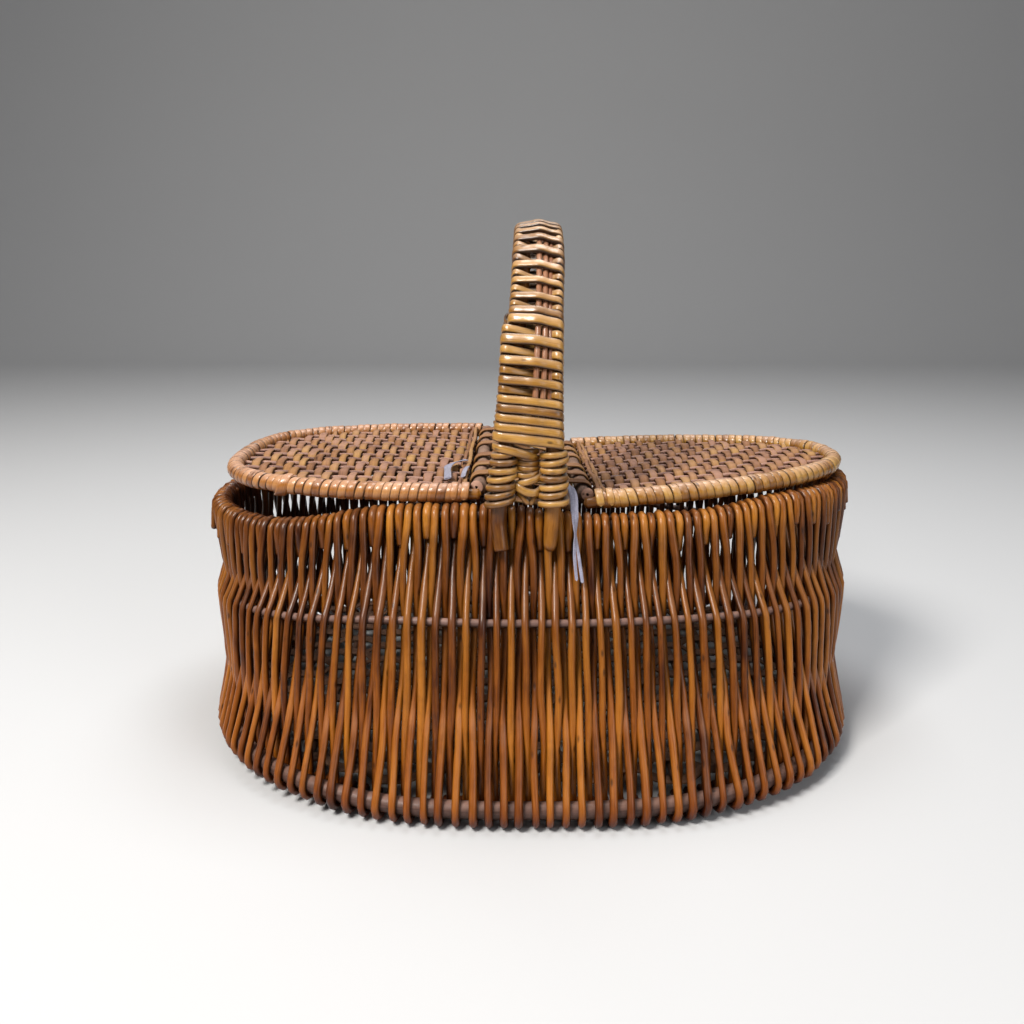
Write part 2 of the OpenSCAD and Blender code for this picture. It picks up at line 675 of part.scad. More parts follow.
lid_place(-1) lid_wrap(LEFT_LID);  // left_lid_wrap
lid_place(-1) lid_hinge_bar(LEFT_LID);  // left_lid_hinge_bar
lid_place(-1) lid_ribs(LEFT_LID);  // left_lid_ribs
lid_place(-1) lid_strips(LEFT_LID);  // left_lid_strips
lid_place(1) lid_border(RIGHT_LID);  // right_lid_border
lid_place(1) lid_wrap(RIGHT_LID);  // right_lid_wrap
lid_place(1) lid_hinge_bar(RIGHT_LID);  // right_lid_hinge_bar
lid_place(1) lid_ribs(RIGHT_LID);  // right_lid_ribs
lid_place(1) lid_strips(RIGHT_LID);  // right_lid_strips
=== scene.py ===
"""Dresses an oval two-lid wicker basket: round willow rods, wound cane, woven lids and grey tape."""
import math

import bpy
import numpy as np
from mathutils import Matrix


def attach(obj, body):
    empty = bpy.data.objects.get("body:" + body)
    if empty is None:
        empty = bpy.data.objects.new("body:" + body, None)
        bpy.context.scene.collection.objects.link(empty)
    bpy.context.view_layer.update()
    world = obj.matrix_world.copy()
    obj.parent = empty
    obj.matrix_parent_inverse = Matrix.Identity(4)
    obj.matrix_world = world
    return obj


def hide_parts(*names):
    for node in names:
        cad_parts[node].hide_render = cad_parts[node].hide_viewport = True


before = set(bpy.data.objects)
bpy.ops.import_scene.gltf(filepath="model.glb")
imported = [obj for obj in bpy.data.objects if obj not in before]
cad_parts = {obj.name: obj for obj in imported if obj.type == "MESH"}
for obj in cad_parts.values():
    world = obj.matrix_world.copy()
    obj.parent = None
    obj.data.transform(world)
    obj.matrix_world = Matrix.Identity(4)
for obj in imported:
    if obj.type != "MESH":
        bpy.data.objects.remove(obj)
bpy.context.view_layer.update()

MM = 0.001
chance = np.random.default_rng(7)

# Camera, in millimetres and in pixels of the 1024 pixel photograph
PHOTO = 1024
FOCAL_PX = 902
HORIZON_PX = 269
EYE = (-11.3, -600.0, 273.9)
SENSOR = 36.0

# Dips in the rim: side, place along it, depth, half lengths to the left and right, power
DIPS = [(-1, -140.0, 6.5, 45.0, 45.0, 2), (-1, 62.0, 5.4, 62.0, 62.0, 4), (1, 22.0, 12.0, 45.0, 122.0, 2)]

SIDES = (("left", -1), ("right", 1))
FACES = (("front", -1), ("back", 1))

# Room between pieces. The solids' stakes: thickness, room over the rim, height that they lift the base
GAP = 0.3
STAKE_T = 3.2
RIM_TURN = 4.5
BASE_LIFT = 5

# Hoops: half length, half depth, squareness, height, falls at the left and right ends, dips
BASE_Z = 7.9
RIM_Z = 137.9
RIM_TOP = 144.0
RIM = (200.0, 104.0, 2.2, RIM_Z, 13.0, 0.0, DIPS)
MID = (193.0, 127.0, 2.4, 87.9, 10.0, 4.0, ())
BASE = (185.0, 157.0, 2.6, BASE_Z, -5.0, -5.0, ())
RIM_R, MID_R, BASE_R = 2.6, 2.1, 4.0

# Willow. At the front and back the stakes stand a little further apart at the rim and closer below it
STAKES = 136
ROD_R = 1.95
RIM_ROD_R = 2.3
BASE_ROD_R = 1.93
RIM_CLOSE, MID_CLOSE, BASE_CLOSE = -0.06, 0.07, 0.074
RIM_SHIFT = 1.2
STAKE_STEP = 3.2
# Tails under the base, stubs outside the rim, and the ends inside the rim and below it
TAIL_L = 20.0
STUB_L = 12.5
OUTER_END = np.array([0.4, -9.0])
INNER_END = np.array([0, 3.0])
# Outward bulges of a stake above and below the middle hoop
OUTER_BULGES = (6.0, -8.8)
INNER_BULGES = (-11.0, 6.0)
# Shares of a stake's height, from the rim: where it gets a painted highlight, and where it wanders sideways and how far
OUTER_HIGHLIGHT, INNER_HIGHLIGHT = 0.74, 0.29
WANDER_AT = np.array([0, 0.2, 0.39, 0.62, 0.8, 1.0])
WANDER = np.array([0.12, 0.32, 0.3, 0.5, 0.45, 0.3])
# Random start of each rod's grain, and where the painted shade along its two edges begins and how far it reaches
GRAIN_SPAN = 4000
EDGE_SHADE_START, EDGE_SHADE_REACH = 0.7, 0.3

# Base: sticks and strips
STICK_R = 2.0
STICK_PITCH = 24
BASE_EDGE = 8.5
BASE_STRIP_T = 1.2
BASE_STRIP_W = 8.8
BASE_STRIP_ROOM = 4.5
BASE_STRIP_PITCH = 11.0

# Lids: distance to the end, half depth, squareness. The right one hangs lower and leans to the back
LEFT_LID = (187.0, 99.0, 3.0)
RIGHT_LID = (198.0, 99.0, 2.2)
LID_Z = 149.3
RIGHT_Z = 141.51046
RIGHT_TILT = math.radians(2.0956266)
LEFT_WARP = math.radians(0.5)
RIGHT_WARP = math.radians(3.2)
HINGE_X = 30.0
HINGE_R = 4.6
BORDER_R = 3.2
WRAPPED_R = 5.2
RIB_R = 1.3
RIB_PITCH = 13.0
STRIP_PITCH = 7.4
STRIP_W = 5.0
STRIP_T = 1.0
STRIP_HALF_T = 0.6
STRIP_RISE = RIB_R + GAP + STRIP_T / 2
WRAP_PITCH = 5.0
WRAP_HALF_W = 2.72
# Rings of cane at the border's front end, place and half width, and the hook on the left border
RINGS = ((37.6, 2.3), (43.6, 2.0))
HOOK_X = 141
# Two thin strips beside the hinge bar: place, height, half width
THIN_STRIPS = ((38.3, 3.4, 1.15), (41.0, 2.6, 1.05))

# Bridge: bars, and the places of its cane along it, in pitches of the ribs
BRIDGE_R = 5.0
BRIDGE_X = 18.6
CANE_T = 1.2
BINDING_W = 4.0
BINDING_AT = (-6.42, -4.5, -2.5, 0, 2.5, 4.5, 6.5)
LOOP_W = 3.2
LOOPS_AT = (-5.5, -3.5, -1.5, 1.5, 3.5, 5.5)

# Handle
HANDLE_RISE = 159.0
ARCH_B = 115.5
ARCH_BEND = 2.3
BOW_R = 4.6
PEG_L = 14.5
PEG_LEAN = 0.3
FOOT_X, TOP_X = -4.3, 6.0
FOOT_GAP, TOP_GAP = 29.0, 18.8
PEG_SHIFTS = {-1: 2.0, 1: -1.6}
CORE_R = 1.8
CORE_RAISE = 5.2
# Core rods: place to the right at the foot and at the top, how much deeper each lies, radius
CORE_RODS = ((1.7, 0.3, 0.0, 1.75), (5.8, 4.2, 0.7, 1.65), (9.2, 7.2, 1.6, 1.4))
# Places of the turns of the lapping that go over the core rods, along the arch from its front foot
OVER_TURNS = (43.4, 48.5, 53.2, 58.3, 63.1, 73.0, 83.6, 95.4, 107.2, 112.6, 121.3, 131.9, 143.5, 156.7, 170.1)
CLOSE_TURNS = (43.4, 48.5, 53.2, 58.3, 107.2)
LAP_PITCH = 5.6
# Below this place the lapping goes round one more rod at the left
LAP_STEP = 104.0
LAP_HALF_T, LAP_HALF_W = 1.25, 2.45
LEG_TURNS = 7
LEG_START = RIM_TOP + 1.9
LEG_PITCH = 4.25
# Straps of a lashing: points to the right, out and up, then half width, half thickness and tone. A strap
# from the left, a block of four loops, a ring, two crossing straps, a dark strip behind, and a V below
STRAPS = [
    ([(-21.5, 0, 179), (-18.6, 5.4, 178.5), (-12, 6.6, 177.2), (-4, 4.6, 174.8), (2, -1, 172.4)], 2.3, 1.1, 0.8),
    *[([(-10.5, -3, z + 0.9), (-7, 1.0, z + 0.3), (-3.5, 2.6, z), (0, 1.2, z - 0.2), (3.2, -3, z - 0.5)],
       1.6, 1.1, 0.1 + 0.1 * k) for k, z in enumerate((176.0, 172.4, 169.4, 166.6))],
    ([(-10, -2.5, 162.6), (-7.5, 1.8, 163.2), (-3.5, 3.2, 163.0), (0.5, 1.8, 163.6), (3, -2.5, 164.2)], 1.5, 1.1, 0.5),
    ([(-11.5, -1, 156.0), (-7, 2.2, 158.6), (-2, 3.4, 160.2), (2.5, 1.6, 161.6), (5, -2, 162.5)], 2.0, 1.1, 0.7),
    ([(-12, -1.5, 159.0), (-8, 3.0, 156.8), (-3, 4.4, 154.6), (1.5, 3.2, 154.2), (4.5, -1.5, 155.4)], 2.3, 1.1, 0.8),
    ([(-7, -2.6, 161), (-3.5, -2.2, 157), (-1.8, -2.2, 152), (-3, -2.6, 146.5)], 3.6, 0.8, 0.0),
    ([(-8.5, -1, 153.6), (-5, 1.6, 150.8), (-2.2, 1.8, 147.6)], 1.5, 1.1, 0.3),
    ([(2.6, -1, 153.0), (0, 1.4, 150.4), (-1.6, 1.4, 147.2)], 1.5, 1.1, 0.4)]

# Tape: its routes are the ones that the part's source lays down
TAPE_W = 4.4
TAPE_R = TAPE_W / 2
# How far out it hangs, and where it leaves the bridge
TAPE_OUT = RIM[1] + RIM_TURN + STAKE_T / 2 + 1.0 + TAPE_R
BRIDGE_END_Y = -96


def tape_z(y):
    return RIGHT_Z - y * math.tan(RIGHT_TILT) + BRIDGE_R + 2 * GAP + CANE_T + TAPE_R


TAPE_END_Z = tape_z(BRIDGE_END_Y)
RIGHT_TAPE = [(20, y, tape_z(y)) for y in (10, 0, -20, -40, -60, -80, BRIDGE_END_Y)] + [
    (21, -105, TAPE_END_Z - 0.3), (22.2, -111, TAPE_END_Z - 4), (22.4, -TAPE_OUT - 0.5, TAPE_END_Z - 11),
    (22.6, -TAPE_OUT - 2, RIM_Z + 2), (22.8, -TAPE_OUT - 3.5, RIM_Z - 10), (23.5, -TAPE_OUT - 6.5, RIM_Z - 20),
    (24.5, -TAPE_OUT - 9, RIM_Z - 29)]
# How far the right tape's width is turned about its path, at even steps along it
RIGHT_TWIST = (0, 0, 0.1, 0.2, 0.2, 0.1, 0.2, 0.3, 0.4, 0.8, 1.5, 1.3, 0.25, 1.2, 1.5)
FORK_L = 24
LEFT_TAPE_Z = STRIP_RISE + STRIP_T / 2 + GAP + TAPE_R
LEFT_TAPE = [(x, y, LEFT_TAPE_Z) for x, y in ((40, -36), (47, -44), (50, -56), (49, -70), (48, -86))]
STRAND = ((37.9, -58, 6.0), (39.0, -66, 5.8), (39.4, -75, 5.5), (39.5, -82, 5.0))

# Stage, in metres: the floor's front edge, where it curves up, the backdrop's top and half the width
FLOOR_FRONT, CURVE_START, BACKDROP_TOP, STAGE_HALF = -4.0, 2.0, 5.0, 5.0
# Lamps: place, target, size, watts, colour
LAMPS = {
    "key": ((-0.75, -0.95, 1.45), (0, 0, 0.12), 0.6, 40, (1.0, 0.97, 0.93)),
    "fill": ((1.3, -1.2, 0.8), (0, 0, 0.1), 1.0, 9, (0.95, 0.97, 1.0)),
    "top": ((0.1, 0.35, 1.6), (0, 0, 0.15), 0.8, 13, (0.95, 0.97, 1.0))}


def add_object(name, data):
    item = bpy.data.objects.new(name, data)
    bpy.context.scene.collection.objects.link(item)
    return item


# Camera and light
def add_camera():
    data = bpy.data.cameras.new("camera")
    data.sensor_width = SENSOR
    data.lens = FOCAL_PX / PHOTO * SENSOR
    data.shift_y = -(PHOTO / 2 - HORIZON_PX) / PHOTO
    data.clip_start = 0.01
    camera = add_object("camera", data)
    camera.location = [c * MM for c in EYE]
    camera.rotation_euler = (math.radians(90), 0, 0)
    bpy.context.scene.camera = camera


def add_lamp(name, place, target, size, watts, colour):
    data = bpy.data.lights.new(name, "AREA")
    data.size = size
    data.energy = watts
    data.color = colour
    lamp = add_object(name, data)
    lamp.location = place
    way = np.array(target) - np.array(place)
    lamp.rotation_euler = (math.atan2(math.hypot(way[0], way[1]), -way[2]), 0,
                           math.atan2(way[1], way[0]) - math.pi / 2)


# Geometry helpers, in millimetres
def unit(v):
    return v / np.linalg.norm(v, axis=-1, keepdims=True)


def ease(t):
    t = np.clip(t, 0, 1)
    return t * t * (3 - 2 * t)


def oval_point(a, b, bend, t):
    c, s = math.cos(t), math.sin(t)
    return np.array([c, s]) / ((abs(c) / a) ** bend + (abs(s) / b) ** bend) ** (1 / bend)


def half_depth(a, b, bend, x):
    return b * max(0.0, 1 - (abs(x) / a) ** bend) ** (1 / bend)


def way_round(hoop, steps=720):
    """Angles of a hoop's plan against the share of the way round it."""
    angles = np.linspace(0, 2 * math.pi, steps + 1)
    points = np.array([oval_point(*hoop[:3], t) for t in angles])
    sums = np.concatenate([[0], np.cumsum(np.linalg.norm(np.diff(points, axis=0), axis=1))])
    return sums / sums[-1], angles


WAYS = {id(h): way_round(h) for h in (RIM, MID, BASE)}


def hoop_z(hoop, p):
    """Height of a hoop above a point of its plan: it falls towards the ends and has its dips."""
    length, _, _, z, left_fall, right_fall, dips = hoop
    z -= (left_fall if p[0] < 0 else right_fall) * ease((abs(p[0]) - 0.3 * length) / (0.7 * length))
    for side, x, depth, left, right, power in dips:
        far = abs(p[0] - x) / (left if p[0] < x else right)
        z -= depth * ease(side * p[1] / 50) * math.exp(-far ** power)
    return float(z)


def hoop_angle(hoop, share, close=0.0):
    """The stakes stand closer together at the front and back by the share close."""
    share = share - close / (4 * math.pi) * math.sin(4 * math.pi * (share - 0.75))
    return float(np.interp(share % 1.0, *WAYS[id(hoop)]))


def hoop_point(hoop, share, close=0.0):
    p = oval_point(*hoop[:3], hoop_angle(hoop, share, close))
    return np.array([p[0], p[1], hoop_z(hoop, p)])


def hoop_normal(hoop, share, close=0.0):
    t = hoop_angle(hoop, share, close)
    d = oval_point(*hoop[:3], t + 0.01) - oval_point(*hoop[:3], t - 0.01)
    return unit(np.array([d[1], -d[0], 0.0]))


def smooth(points, steps, loop=False):
    """Curve through points, with steps samples to each span."""
    p = np.asarray(points, float)
    n = len(p)
    out = []
    for i in range(n if loop else n - 1):
        if loop:
            a, b, c, d = p[i - 1], p[i], p[(i + 1) % n], p[(i + 2) % n]
        else:
            a, b, c, d = p[max(i - 1, 0)], p[i], p[i + 1], p[min(i + 2, n - 1)]
        for k in range(steps):
            t = k / steps
            out.append(0.5 * (2 * b + (c - a) * t + (2 * a - 5 * b + 4 * c - d) * t ** 2
                              + (3 * b - a - 3 * c + d) * t ** 3))
    if not loop:
        out.append(p[-1])
    return np.array(out)


def arc(centre, r, start, end, steps):
    t = np.linspace(start, end, steps + 1)
    return np.column_stack([centre[0] + r * np.cos(t), centre[1] + r * np.sin(t)])


def lengths(path):
    return np.concatenate([[0], np.cumsum(np.linalg.norm(np.diff(path, axis=0), axis=1))])


def resample(path, step, tip=0.0):
    """The same path with even steps, and with closer ones over a tip at each end."""
    s = lengths(path)
    total = s[-1]
    count = max(2, int(round(total / step)))
    at = np.linspace(0, total, count + 1)
    if tip > 0:
        near = tip * np.array([0, 0.06, 0.25, 0.6, 1.0])
        at = np.concatenate([near, at[(at > tip * 1.2) & (at < total - tip * 1.2)], total - near[::-1]])
    return np.column_stack([np.interp(at, s, path[:, k]) for k in range(path.shape[1])])


def disc(sides):
    t = np.arange(sides) * 2 * math.pi / sides
    return np.column_stack([np.cos(t), np.sin(t)])


# A disc turned by a quarter, so that the painted shade on a stake's edges runs down its sides
SIDED = disc(10) @ np.array([[0, 1], [-1, 0]])


def lozenge(half_t, half_w, power=2.6, sides=10):
    """Section of flat cane: its thickness, then its width."""
    t = np.arange(sides) * 2 * math.pi / sides
    c, s = np.cos(t), np.sin(t)
    return np.column_stack([half_t * np.sign(c) * np.abs(c) ** (2 / power),
                            half_w * np.sign(s) * np.abs(s) ** (2 / power)])


class Pile:
    """Rods and strips that make up one piece, with the grain, tone and wear of each."""

    def __init__(self):
        self.points, self.faces, self.grain, self.tone, self.wear_highlight_shade = [], [], [], [], []
        self.count = 0
        self.flipped = False

    def rod(self, path, section, ref, size=1.0, loop=False, tip=0.0, tone=None, wear_highlight_shade=0.0, edge_shade=0.0):
        """Sweeps a section along a path. The section's first axis is square to ref and to the path.

        tip rounds both ends over its length, positive wear lightens (real wear, painted highlights), and the edge value
        paints shade on the section's two edges.
        """
        path = np.asarray(path, float)
        n, m = len(path), len(section)
        if loop:
            way = unit(np.roll(path, -1, 0) - np.roll(path, 1, 0))
        else:
            way = unit(np.gradient(path, axis=0))
        across = unit(np.cross(np.broadcast_to(ref, way.shape), way))
        up = np.cross(way, across)
        size = np.broadcast_to(np.asarray(size, float), (n,)).copy()
        s = lengths(path)
        if tip > 0:
            near = np.minimum(s, s[-1] - s)
            size *= np.sqrt(np.clip(1 - (1 - np.minimum(near / tip, 1)) ** 2, 0.04, 1))
        rings = (path[:, None] + (size[:, None] * section[None, :, 0])[..., None] * across[:, None]
                 + (size[:, None] * section[None, :, 1])[..., None] * up[:, None])
        self.points.append(rings.reshape(-1, 3))
        seed = chance.random(3) * GRAIN_SPAN
        flat = np.broadcast_to(section, (n, m, 2)) * size[:, None, None]
        grain = np.concatenate([flat, np.broadcast_to(s[:, None, None], (n, m, 1))], axis=2)
        self.grain.append((grain + seed).reshape(-1, 3))
        tone = chance.random() if tone is None else tone
        self.tone.append(np.repeat(np.broadcast_to(np.asarray(tone, float), (n,)), m))
        edge = np.abs(section).max(axis=0).argmax()
        edge = np.abs(section[:, edge]) / np.abs(section[:, edge]).max()
        # Painted shade, with some grime, along the section's two edges where it meets its neighbours; it is taken off
        # the wear
        edge_shade_mask = ease((edge - EDGE_SHADE_START) / EDGE_SHADE_REACH)[None, :]
        sheen_wear_shade_level = np.broadcast_to(np.asarray(wear_highlight_shade, float), (n,))[:, None] - edge_shade * edge_shade_mask
        self.wear_highlight_shade.append(sheen_wear_shade_level.reshape(-1))
        first = self.count
        i = np.arange(n if loop else n - 1)[:, None]
        j = np.arange(m)[None, :]
        a = first + i * m + j
        b = first + ((i + 1) % n) * m + j
        c = first + ((i + 1) % n) * m + (j + 1) % m
        d = first + i * m + (j + 1) % m
        self.faces.extend(np.stack([a, d, c, b], axis=2).reshape(-1, 4).tolist())
        if not loop:
            self.faces.append([first + k for k in range(m)])
            self.faces.append([first + (n - 1) * m + k for k in range(m - 1, -1, -1)])
        self.count += n * m

    def place(self, turn, mirrored=False):
        """Moves all points by a function of an array of points."""
        self.points = [turn(p) for p in self.points]
        self.flipped = mirrored

    def make(self, name, material, body, slot, *nodes):
        points = np.concatenate(self.points) * MM
        faces = [f[::-1] for f in self.faces] if self.flipped else self.faces
        mesh = bpy.data.meshes.new(name)
        mesh.from_pydata(points.tolist(), [], faces)
        mesh.polygons.foreach_set("use_smooth", [True] * len(mesh.polygons))
        grain = mesh.attributes.new("grain", "FLOAT_VECTOR", "POINT")
        grain.data.foreach_set("vector", (np.concatenate(self.grain) * MM).ravel())
        for key, values in (("tone", self.tone), ("wear_highlight_shade", self.wear_highlight_shade)):
            attribute = mesh.attributes.new(key, "FLOAT", "POINT")
            attribute.data.foreach_set("value", np.concatenate(values))
        mesh.materials.append(material)
        mesh.validate()
        piece = add_object(name, mesh)
        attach(piece, body)
        if nodes:
            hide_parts(*nodes)
        return piece


# Materials
class Nodes:
    """Short names for the nodes of one material."""

    def __init__(self, name):
        self.material = bpy.data.materials.new(name)
        self.material.use_nodes = True
        self.tree = self.material.node_tree
        self.shader = self.tree.nodes["Principled BSDF"]

    def feed(self, node, inputs):
        """Links the inputs that come from another node and sets the rest."""
        for key, value in inputs.items():
            if isinstance(value, bpy.types.NodeSocket):
                self.tree.links.new(value, node.inputs[key])
            else:
                node.inputs[key].default_value = value

    def add(self, kind, inputs=(), **values):
        node = self.tree.nodes.new(kind)
        for key, value in values.items():
            setattr(node, key, value)
        self.feed(node, dict(inputs))
        return node

    def attribute(self, name):
        return self.add("ShaderNodeAttribute", attribute_name=name)

    def scaled(self, vector, scale):
        return self.add("ShaderNodeVectorMath", {0: vector, 1: scale}, operation="MULTIPLY").outputs[0]

    def noise(self, vector, scale, detail, rough):
        inputs = {"Vector": vector, "Scale": scale, "Detail": detail, "Roughness": rough}
        return self.add("ShaderNodeTexNoise", inputs).outputs["Fac"]

    def maths(self, operation, a, b, clamp=False):
        return self.add("ShaderNodeMath", {0: a, 1: b}, operation=operation, use_clamp=clamp).outputs[0]

    def weighted(self, *terms):
        """Sum of values, each times its weight."""
        total = None
        for value, weight in terms:
            term = self.maths("MULTIPLY", value, weight)
            total = term if total is None else self.maths("ADD", total, term)
        return total

    def spread(self, value, low, high, to_low=0.0, to_high=1.0):
        """Turns the range from low to high into the one from to_low to to_high."""
        inputs = {"Value": value, "From Min": low, "From Max": high, "To Min": to_low, "To Max": to_high}
        return self.add("ShaderNodeMapRange", inputs).outputs[0]

    def ramp(self, value, stops):
        node = self.add("ShaderNodeValToRGB", {"Fac": value})
        ramp = node.color_ramp
        while len(ramp.elements) < len(stops):
            ramp.elements.new(0.5)
        for element, (place, colour) in zip(ramp.elements, stops):
            element.position = place
            element.color = (*colour, 1)
        return node.outputs["Color"]

    def mix(self, share, a, b, blend="MIX"):
        a, b = [(*c, 1) if isinstance(c, tuple) else c for c in (a, b)]
        return self.add("ShaderNodeMix", {0: share, 6: a, 7: b}, data_type="RGBA", blend_type=blend).outputs[2]

    def relief(self, height, strength, distance):
        node = self.add("ShaderNodeBump", {"Strength": strength, "Distance": distance, "Height": height})
        self.feed(self.shader, {"Normal": node.outputs[0]})


def wall_tint_and_painted_shade(n, colour, place, area, normal):
    """Colour of the wall: redder and darker low down, painted shade inside and in a band below the rim, darker at the
    foot.
    """
    height = n.add("ShaderNodeSeparateXYZ", {0: place}).outputs[2]
    low = n.spread(n.maths("ADD", height, n.maths("MULTIPLY", area, 0.05)), 0.03, 0.17, 0.75, 0.0)
    colour = n.mix(low, colour, (0.88, 0.7, 0.6), "MULTIPLY")
    # Painted shade: faces that look into the basket are darkened
    inward = n.add("ShaderNodeVectorMath", {0: normal, 1: n.scaled(place, (1, 1, 0))}, operation="DOT_PRODUCT")
    colour = n.mix(n.spread(inward.outputs["Value"], -0.01, -0.06), colour, (0.35, 0.28, 0.25), "MULTIPLY")
    # Painted shadow: a band below the rim is darkened, the rim's shoulder left bright
    shadow_band_below_rim = n.maths("MULTIPLY", n.spread(height, 0.045, 0.1), n.spread(height, 0.135, 0.127))
    colour = n.mix(shadow_band_below_rim, colour, (0.58, 0.54, 0.48), "MULTIPLY")
    return n.mix(n.spread(height, 0.016, 0.003, 0.0, 0.8), colour, (0.4, 0.2, 0.2), "MULTIPLY")


def willow(name, dark, plain, light, rough=(0.28, 0.5), coat=0.35, grime=0.5, rosy=(0.5, 0.28, 0.2), sheen_wear_shade_level=0.35,
           wall=False, shine=0.35):
    """Varnished willow or cane: streaks along the grain, blotches, a painted rosy sheen on tops, painted shade on
    edges, and specks.
    """
    def darker(share):
        return tuple(share * c for c in dark)
    n = Nodes(name)
    grain = n.attribute("grain").outputs["Vector"]
    tone = n.attribute("tone").outputs["Fac"]
    wear_highlight_shade = n.attribute("wear_highlight_shade").outputs["Fac"]
    place = n.add("ShaderNodeTexCoord").outputs["Object"]
    streak = n.noise(n.scaled(grain, (1, 1, 0.05)), 1500, 4, 0.6)
    fine = n.noise(n.scaled(grain, (1, 1, 0.12)), 5200, 2, 0.5)
    blotch = n.noise(n.scaled(grain, (1, 1, 0.5)), 70, 3, 0.6)
    area = n.noise(place, 22, 3, 0.55)
    value = n.weighted((streak, 0.5), (blotch, 0.6), (area, 0.3), (tone, 0.4))
    colour = n.ramp(n.spread(value, 0.6, 1.17), [(0.0, dark), (0.45, plain), (1.0, light)])
    normal = n.add("ShaderNodeNewGeometry").outputs["Normal"]
    facing = n.add("ShaderNodeSeparateXYZ", {0: normal}).outputs[2]
    # Painted sheen: faces that look up are tinted rosy as if lit from above, in patches, and so are places that the
    # wear attribute lightens
    above = n.spread(facing, 0.25, 0.95, 0.0, sheen_wear_shade_level)
    above = n.maths("MULTIPLY", above, n.spread(n.noise(place, 35, 3, 0.6), 0.35, 0.6, 0.4, 1.0))
    above = n.maths("ADD", above, n.spread(wear_highlight_shade, 0.0, 1.0))
    colour = n.mix(n.maths("MINIMUM", above, 0.85), colour, rosy)
    # Painted shade: faces that look down are darkened
    colour = n.mix(n.spread(facing, 0.1, -0.7), colour, (0.5, 0.36, 0.22), "MULTIPLY")
    if wall:
        colour = wall_tint_and_painted_shade(n, colour, place, area, normal)
    inputs = {"Vector": n.scaled(grain, (1, 1, 0.45)), "Scale": 150}
    speck = n.spread(n.add("ShaderNodeTexVoronoi", inputs).outputs["Distance"], 0.16, 0.06)
    colour = n.mix(n.maths("MULTIPLY", speck, 0.7, True), colour, darker(0.25))
    stain = n.spread(n.noise(place, 60, 4, 0.7), 0.54, 0.7)
    colour = n.mix(n.maths("MULTIPLY", stain, grime * 0.5, True), colour, darker(0.45))
    # Painted shade: where the wear attribute is negative, the rod's edges are darkened
    colour = n.mix(n.spread(wear_highlight_shade, 0.0, -1.0), colour, darker(0.2))
    roughness = n.spread(n.maths("ADD", streak, blotch), 0.7, 1.3, *rough)
    n.feed(n.shader, {"Base Color": colour, "Roughness": roughness, "Coat Weight": coat, "Coat Roughness": 0.14,
                      "Specular IOR Level": shine})
    height = n.weighted((streak, 0.7), (fine, 0.3), (blotch, 1.2))
    n.relief(n.maths("SUBTRACT", height, n.maths("MULTIPLY", speck, 0.8)), 0.35, 0.0006)
    return n.material


def tape_material():
    """Worn grey ribbon with a plain weave."""
    n = Nodes("tape")
    grain = n.attribute("grain").outputs["Vector"]
    cross = n.noise(n.scaled(grain, (1, 0.15, 1)), 3400, 2, 0.5)
    along = n.noise(n.scaled(grain, (1, 1, 0.1)), 2600, 2, 0.5)
    sheen_wear_shade_level = n.noise(grain, 90, 4, 0.65)
    value = n.weighted((n.maths("ADD", cross, along), 0.35), (sheen_wear_shade_level, 0.4))
    colour = n.ramp(value, [(0.25, (0.12, 0.11, 0.15)), (0.55, (0.28, 0.27, 0.35)), (0.8, (0.5, 0.49, 0.6))])
    n.feed(n.shader, {"Base Color": colour, "Roughness": 0.8, "Sheen Weight": 0.3})
    n.relief(n.maths("ADD", cross, along), 0.5, 0.0003)
    return n.material


# In each material below, rosy and the amount after it paint a sheen on faces that look up
STAKE = willow("stake willow", (0.05, 0.01, 0.001), (0.245, 0.072, 0.004), (0.45, 0.17, 0.016),
               rosy=(0.42, 0.2, 0.1), sheen_wear_shade_level=0.3, wall=True, coat=0.22, shine=0.22)
HOOP = willow("hoop willow", (0.035, 0.018, 0.014), (0.11, 0.06, 0.048), (0.2, 0.12, 0.1), coat=0.05, shine=0.2)
# The base's willow is painted very dark, as painted shade for the inside of the basket
SHADED_BASE_WOOD = willow("base willow", (0.02, 0.009, 0.004), (0.06, 0.028, 0.012), (0.11, 0.06, 0.03),
                   coat=0.0, shine=0.1)
WEAVE = willow("lid weave", (0.09, 0.028, 0.007), (0.29, 0.13, 0.035), (0.46, 0.26, 0.075),
               rough=(0.5, 0.75), coat=0.0, rosy=(0.36, 0.2, 0.145), sheen_wear_shade_level=0.6, shine=0.15)
RIB = willow("lid ribs", (0.035, 0.012, 0.008), (0.125, 0.056, 0.039), (0.29, 0.16, 0.12),
             coat=0.05, sheen_wear_shade_level=0.6, shine=0.2)
GOLDEN = willow("golden cane", (0.13, 0.04, 0.003), (0.36, 0.155, 0.018), (0.52, 0.29, 0.07),
                grime=0.6, rosy=(0.66, 0.43, 0.3), sheen_wear_shade_level=0.75, coat=0.4)
LEFT_CANE = willow("left border cane", (0.1, 0.025, 0.004), (0.31, 0.108, 0.016), (0.5, 0.235, 0.08),
                   grime=1.0, rosy=(0.64, 0.39, 0.27), sheen_wear_shade_level=0.75, coat=0.45)
LAPPING = willow("handle cane", (0.08, 0.022, 0.002), (0.25, 0.104, 0.008), (0.52, 0.27, 0.055),
                 rosy=(0.76, 0.52, 0.35), sheen_wear_shade_level=0.6, coat=0.65)
CORE = willow("core rods", (0.1, 0.03, 0.01), (0.3, 0.12, 0.05), (0.45, 0.24, 0.14))
BOW = willow("bow wood", (0.06, 0.015, 0.002), (0.2, 0.07, 0.006), (0.36, 0.145, 0.018),
             rosy=(0.34, 0.16, 0.05), sheen_wear_shade_level=0.2, coat=0.25, shine=0.25)
